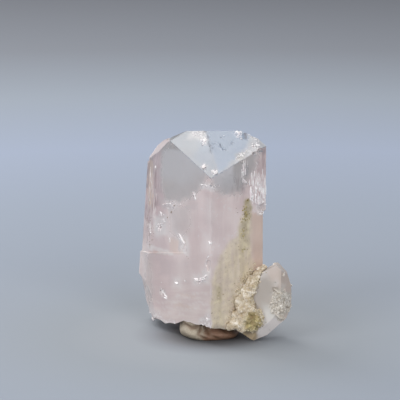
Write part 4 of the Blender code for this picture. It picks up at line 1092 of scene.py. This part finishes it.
# Crumbs of the same crust that stuck to the main crystal's face beside it, thinning out away from it, and
# along the seam where the crust meets the side crystal. A patch has its middle's x and height, its spread and
# its count.
CRUMB_PATCHES = [(7.3, 14.2, 0.5, 20), (6.6, 12.8, 0.7, 60), (5.5, 11.4, 0.9, 100), (4.8, 10, 1.1, 130),
                 (4.4, 8.6, 1.1, 140), (4.2, 7.2, 1.1, 130), (4, 5.8, 1, 130), (3.4, 4.4, 1, 130),
                 (2.7, 3.2, 1, 120), (5.9, 25, 0.8, 30), (5.8, 23.7, 0.7, 26), (5.4, 20.8, 0.9, 20),
                 (5.2, 18, 0.9, 16), (2.2, 9, 2, 16)]
SEAM = [(9, 14.2), (7.9, 11.8), (7.2, 9.5), (6.9, 7.9), (7.7, 6.4), (8.9, 5.2), (8.6, 3.4)]
SEAM_CRUMBS = 34
SEAM_SPREAD_ACROSS, SEAM_SPREAD_UP = 0.22, 0.2

# Small dark specks halfway up the left edge, each anywhere in a box of x and height, and others where the
# photo shows them, as x, height and size
LEFT_SPECKS = 36
LEFT_SPECKS_ACROSS, LEFT_SPECKS_UP = (-13.3, -11.7), (15.8, 21.6)
DARK_SPECKS = [(-8.3, 23.6, 0.2), (-9.05, 22.5, 0.18), (-7.7, 25.1, 0.14), (-5.3, 15.9, 0.1),
               (6, 27.1, 0.3), (5.4, 24.4, 0.14), (5.9, 24.1, 0.13), (6.4, 24.4, 0.14), (6.6, 23.7, 0.12),
               (3.9, 25.8, 0.11), (4.7, 23.6, 0.11), (4.2, 24.9, 0.1), (2, 17.5, 0.1), (0.7, 10, 0.12),
               (-0.6, 6.3, 0.14), (5.4, 21.8, 0.12), (5.2, 21.2, 0.13), (4.9, 19.9, 0.1), (4.4, 18.4, 0.09),
               (6.1, 19.2, 0.09), (-12.4, 20.8, 0.1), (-12.2, 19.4, 0.12), (-12.5, 18.2, 0.1),
               (-12.1, 17, 0.11), (-11.6, 20, 0.09), (-5.05, 15.6, 0.1), (-2, 4.6, 0.12), (-1.5, 4, 0.1),
               (1.4, 12.6, 0.09), (2.6, 8.2, 0.1), (3.8, 11, 0.09)]
crumbs = bmesh.new()
crumb_layers = {name: crumbs.verts.layers.float.new(name) for name in CLAY_SHARES}


def add_crumb(place, size, olive, dark):
    """Adds one crumb of the crust, with its share of olive clay and of dark clay."""
    known = len(crumbs.verts)
    add_shard(crumbs, place, (size, size, 0.75 * size), random_spin())
    crumbs.verts.ensure_lookup_table()
    for index in range(known, len(crumbs.verts)):
        crumbs.verts[index][crumb_layers["olive"]] = olive
        crumbs.verts[index][crumb_layers["dark"]] = dark


for middle_x, middle_z, spread, count in CRUMB_PATCHES:
    for crumb in range(count):
        x = chance.gauss(middle_x, 0.5 * spread)
        z = chance.gauss(middle_z, 0.8 * spread)
        place, normal = surface_place(main_tree, x, z, "front")
        if place:
            mossy = 1.0 if z > 16 else 0.5 * chance.random()
            add_crumb(place, 0.06 + 0.2 * chance.random() ** 2, mossy, 0.8 if chance.random() < 0.04 else 0.0)
for (x1, z1), (x2, z2) in zip(SEAM, SEAM[1:]):
    for crumb in range(SEAM_CRUMBS):
        part = chance.random()
        x = x1 + (x2 - x1) * part + chance.gauss(0, SEAM_SPREAD_ACROSS)
        z = z1 + (z2 - z1) * part + chance.gauss(0, SEAM_SPREAD_UP)
        found = [surface_place(tree, x, z, "front")[0] for tree in (crust_tree, side_tree)]
        found = [place for place in found if place]
        if found:
            nearest = min(found, key=lambda place: place.y)
            add_crumb(nearest, chance.uniform(0.12, 0.3), 0.5 * chance.random(), 0.0)
for speck in range(LEFT_SPECKS):
    x = chance.uniform(*LEFT_SPECKS_ACROSS)
    place, normal = surface_place(main_tree, x, chance.uniform(*LEFT_SPECKS_UP), "front")
    if place:
        add_crumb(place, chance.uniform(0.04, 0.11), 0.0, 1.0)
for x, z, size in DARK_SPECKS:
    add_crumb(surface_place(main_tree, x, z, "front")[0], size, 0.0, 2.0)
add_piece("grit_crumbs", crumbs, clay_and_grit)

# The mounting putty
# Mineral putty, clay in a soft oil, rolled to a pea and pressed flat under the crystal's broken foot with a
# fingertip. It is beige at the left and a darker red-brown at the right, under the crystals, where the darker
# tone is partly painted shade; its folds are darkened with painted shade.
PUTTY_CELL = 0.14
FRONT_SPREAD = 1.1
LEFT_SPREAD = 0.5
SPREAD_HEIGHT = 2.6
FOLD_WIDTH = 0.38
FOLD_PRESS = 0.3
FOLD_SHADE = 0.75
UNDERCUT = 0.07
UNDERCUT_HEIGHT = 0.7
PUTTY_FOLDS = [[(-2.7, 3), (-2.7, 1.3), (-1.5, 0.4)], [(-1.9, 2.6), (-0.7, 1.3), (0.6, 0.3)],
               [(0.8, 2.8), (2.2, 1.7), (4.4, 1.5)], [(-5.6, 2.6), (-4.4, 2.2), (-3.4, 2.5)]]


def fold_depth(place):
    """How deep the nearest pressed fold is at a place of the putty, from 0 to 1."""
    legs = [leg for fold in PUTTY_FOLDS for leg in zip(fold, fold[1:])]
    nearest = min(distance_to_leg(place.x, place.z, *leg) for leg in legs)
    return math.exp(-(nearest / FOLD_WIDTH) ** 2)


def make_putty():
    """Mineral putty: an oily, soft-sheened clay, smeared from beige into a darker red-brown that is partly
    painted shadow, with painted shading in its folds.
    """
    material, tree = new_material("mineral_putty")
    place = add_node(tree, "TexCoord").outputs["Object"]
    red, fold = [add_node(tree, "Attribute", attribute_name=name).outputs["Fac"] for name in ("red", "fold")]
    smears = add_node(tree, "TexNoise", {"Vector": place, "Scale": spacing(2.2), "Detail": 4.0,
                                         "Distortion": 1.5})
    dust = add_node(tree, "TexNoise", {"Vector": place, "Scale": spacing(0.3), "Detail": 4.0})
    beige_to_brown = add_node(tree, "Math", {0: smears, 1: 0.6, 2: red}, operation="MULTIPLY_ADD")
    beige_to_brown = add_node(tree, "MapRange", {"Value": beige_to_brown, "From Min": 0.55, "From Max": 1.05})
    dusty = add_node(tree, "MapRange", {"Value": dust, "From Min": 0.45, "From Max": 0.7, "To Max": 0.5})
    beige = add_node(tree, "MixRGB", {"Fac": dusty, "Color1": paint("#A29684"), "Color2": paint("#C2B8A6")})
    brown = add_node(tree, "MixRGB", {"Fac": dusty, "Color1": paint("#84634F"), "Color2": paint("#A2856E")})
    colour = add_node(tree, "MixRGB", {"Fac": beige_to_brown, "Color1": beige, "Color2": brown})
    colour = add_node(tree, "MixRGB", {"Fac": fold, "Color1": colour, "Color2": paint("#6E5440")})
    rough = add_node(tree, "MapRange", {"Value": dust, "To Min": 0.45, "To Max": 0.7})
    tooth = add_node(tree, "Bump", {"Strength": 0.4, "Distance": 0.08 * MM, "Height": dust})
    surface = add_node(tree, "BsdfPrincipled", {"Base Color": colour, "Roughness": rough, "Normal": tooth})
    add_node(tree, "OutputMaterial", {"Surface": surface})
    return material


putty_shape = remeshed("putty_form", "mounting_putty", PUTTY_CELL)
red_and_shade_layer = putty_shape.verts.layers.float.new("red")
fold_shade_layer = putty_shape.verts.layers.float.new("fold")
putty_shape.normal_update()
putty_middle = sum((vert.co for vert in putty_shape.verts), Vector()) / len(putty_shape.verts)
for vert in putty_shape.verts:
    place = vert.co / MM
    # The folds are pressed in, and darkened by painted shade
    fold = fold_depth(place) * smooth_step(0.5 - place.y / 3.0)
    # Red-brown towards the right, a darker tone that is partly painted shade
    vert[red_and_shade_layer] = smooth_step((place.x + 4.4 + noise.noise(place * 0.5)) / 5.0)
    vert[fold_shade_layer] = FOLD_SHADE * fold
    dents = 0.1 * noise.noise(place * 0.45) + 0.03 * noise.noise(place * 1.3)
    free = smooth_step((place.z - 0.05) / 0.5)
    pressed_up = 0.3 * smooth_step((place.z - 2.2) / 0.6)
    vert.co += vert.normal * (dents + pressed_up - FOLD_PRESS * fold) * free * MM
    spread = smooth_step((SPREAD_HEIGHT - place.z) / 1.6)
    spread *= smooth_step(0.5 + (putty_middle.y - vert.co.y) / (3.0 * MM))
    vert.co.y -= FRONT_SPREAD * spread * MM
    vert.co.x -= LEFT_SPREAD * spread * smooth_step(0.5 + (putty_middle.x - vert.co.x) / (4.0 * MM)) * MM
    tuck = UNDERCUT * max(0.0, 1 - place.z / UNDERCUT_HEIGHT) ** 2
    vert.co.x -= (vert.co.x - putty_middle.x) * tuck
    vert.co.y -= (vert.co.y - putty_middle.y) * tuck
add_piece("pressed_putty", putty_shape, make_putty(), "mounting_putty")

# The table, the light and the camera
# A sheet of pale blue-grey card in a white light tent, with a softbox overhead that the top face mirrors, two
# soft front panels and one behind at the left, seen by a long lens from twelve degrees above.
FLOOR_REACH = 6.0

# The card's tones at distances in metres from the middle of the fade: a painted contact shadow, darkest at
# the putty's front, palest some way off, and greyer far away as painted shade
CARD_TONES_AND_PAINTED_SHADE = [(0.0, "#464648"), (0.0055, "#565658"), (0.007, "#68686B"), (0.0085, "#7A7B7F"),
             (0.011, "#8C9096"), (0.0145, "#999EA4"), (0.02, "#989DA3"), (0.028, "#949AA1"),
             (0.045, "#959CA6"), (0.07, "#959DA9"), (0.12, "#98A1AF"), (0.19, "#9EA8BB"),
             (0.27, "#98A0AB"), (0.36, "#83878F"), (0.48, "#72757C")]
# The painted contact shadow centres a little in front of the specimen's middle
PAINTED_SHADOW_MIDDLE = (-1.0 * MM, -2.5 * MM, 0.0)
floor_shape = bmesh.new()
bmesh.ops.create_grid(floor_shape, x_segments=1, y_segments=1, size=FLOOR_REACH)
floor_mesh = bpy.data.meshes.new("table")
floor_shape.to_mesh(floor_mesh)
floor_shape.free()
floor = bpy.data.objects.new("table", floor_mesh)
bpy.context.collection.objects.link(floor)
card, tree = new_material("blue_grey_card_with_painted_shadow")
middle = add_node(tree, "TexCoord").outputs["Object"]
distance = add_node(tree, "VectorMath", {0: middle, 1: PAINTED_SHADOW_MIDDLE}, operation="DISTANCE").outputs["Value"]
spread = add_node(tree, "MapRange", {"Value": distance, "From Max": CARD_TONES_AND_PAINTED_SHADE[-1][0]})
card_tone_and_shade = add_node(tree, "ValToRGB", {"Fac": spread})
for stop, (reach, code) in enumerate(CARD_TONES_AND_PAINTED_SHADE):
    mark = card_tone_and_shade.color_ramp.elements.new(reach / CARD_TONES_AND_PAINTED_SHADE[-1][0]) if 0 < stop < len(CARD_TONES_AND_PAINTED_SHADE) - 1 else None
    mark = mark or card_tone_and_shade.color_ramp.elements[0 if stop == 0 else -1]
    mark.color = paint(code)
tooth = add_node(tree, "TexNoise", {"Vector": middle, "Scale": spacing(0.8), "Detail": 3.0})
pressed = add_node(tree, "Bump", {"Strength": 0.08, "Distance": 0.05 * MM, "Height": tooth})
surface = add_node(tree, "BsdfPrincipled", {"Base Color": card_tone_and_shade, "Roughness": 0.8, "Normal": pressed})
add_node(tree, "OutputMaterial", {"Surface": surface})
floor.data.materials.append(card)


def add_panel(name, place, size, radiance):
    """A soft square light panel that faces the specimen, with its brightness as seen."""
    data = bpy.data.lights.new(name, "AREA")
    data.shape = "SQUARE"
    data.size = size
    data.energy = radiance * math.pi * size * size
    panel = bpy.data.objects.new(name, data)
    panel.location = place
    panel.rotation_euler = (SPECIMEN_MIDDLE - Vector(place)).to_track_quat("-Z", "Y").to_euler()
    bpy.context.collection.objects.link(panel)


SPECIMEN_MIDDLE = Vector((0.0, 0.0, 0.02))
add_panel("overhead_softbox", (-0.2, 0.16, 0.7), 0.5, 2.8)
add_panel("left_panel", (-0.5, -0.5, 0.35), 0.4, 4.0)
add_panel("right_panel", (0.3, -0.64, 0.35), 0.4, 4.1)
add_panel("back_panel", (-0.45, 0.5, 0.3), 0.4, 3.0)

TENT_COLOUR = "#F2F4F8"
TENT_STRENGTH = 0.53
world = bpy.data.worlds.new("light_tent")
world.use_nodes = True
world.node_tree.nodes["Background"].inputs["Color"].default_value = paint(TENT_COLOUR)
world.node_tree.nodes["Background"].inputs["Strength"].default_value = TENT_STRENGTH
bpy.context.scene.world = world

CAMERA_RISE = 12.0
CAMERA_DISTANCE = 0.5
CAMERA_AIM = Vector((-0.00285, 0.0, 0.0258))
FRAME_WIDTH = 0.076
lens = bpy.data.cameras.new("camera")
lens.sensor_width = 36.0
lens.lens = lens.sensor_width * CAMERA_DISTANCE / FRAME_WIDTH
lens.clip_start = 0.01
camera = bpy.data.objects.new("camera", lens)
rise = math.radians(CAMERA_RISE)
camera.location = CAMERA_AIM - Vector((0, math.cos(rise), -math.sin(rise))) * CAMERA_DISTANCE
camera.rotation_euler = (math.radians(90 - CAMERA_RISE), 0, 0)
bpy.context.collection.objects.link(camera)
bpy.context.scene.camera = camera
bpy.context.scene.view_settings.view_transform = "Standard"
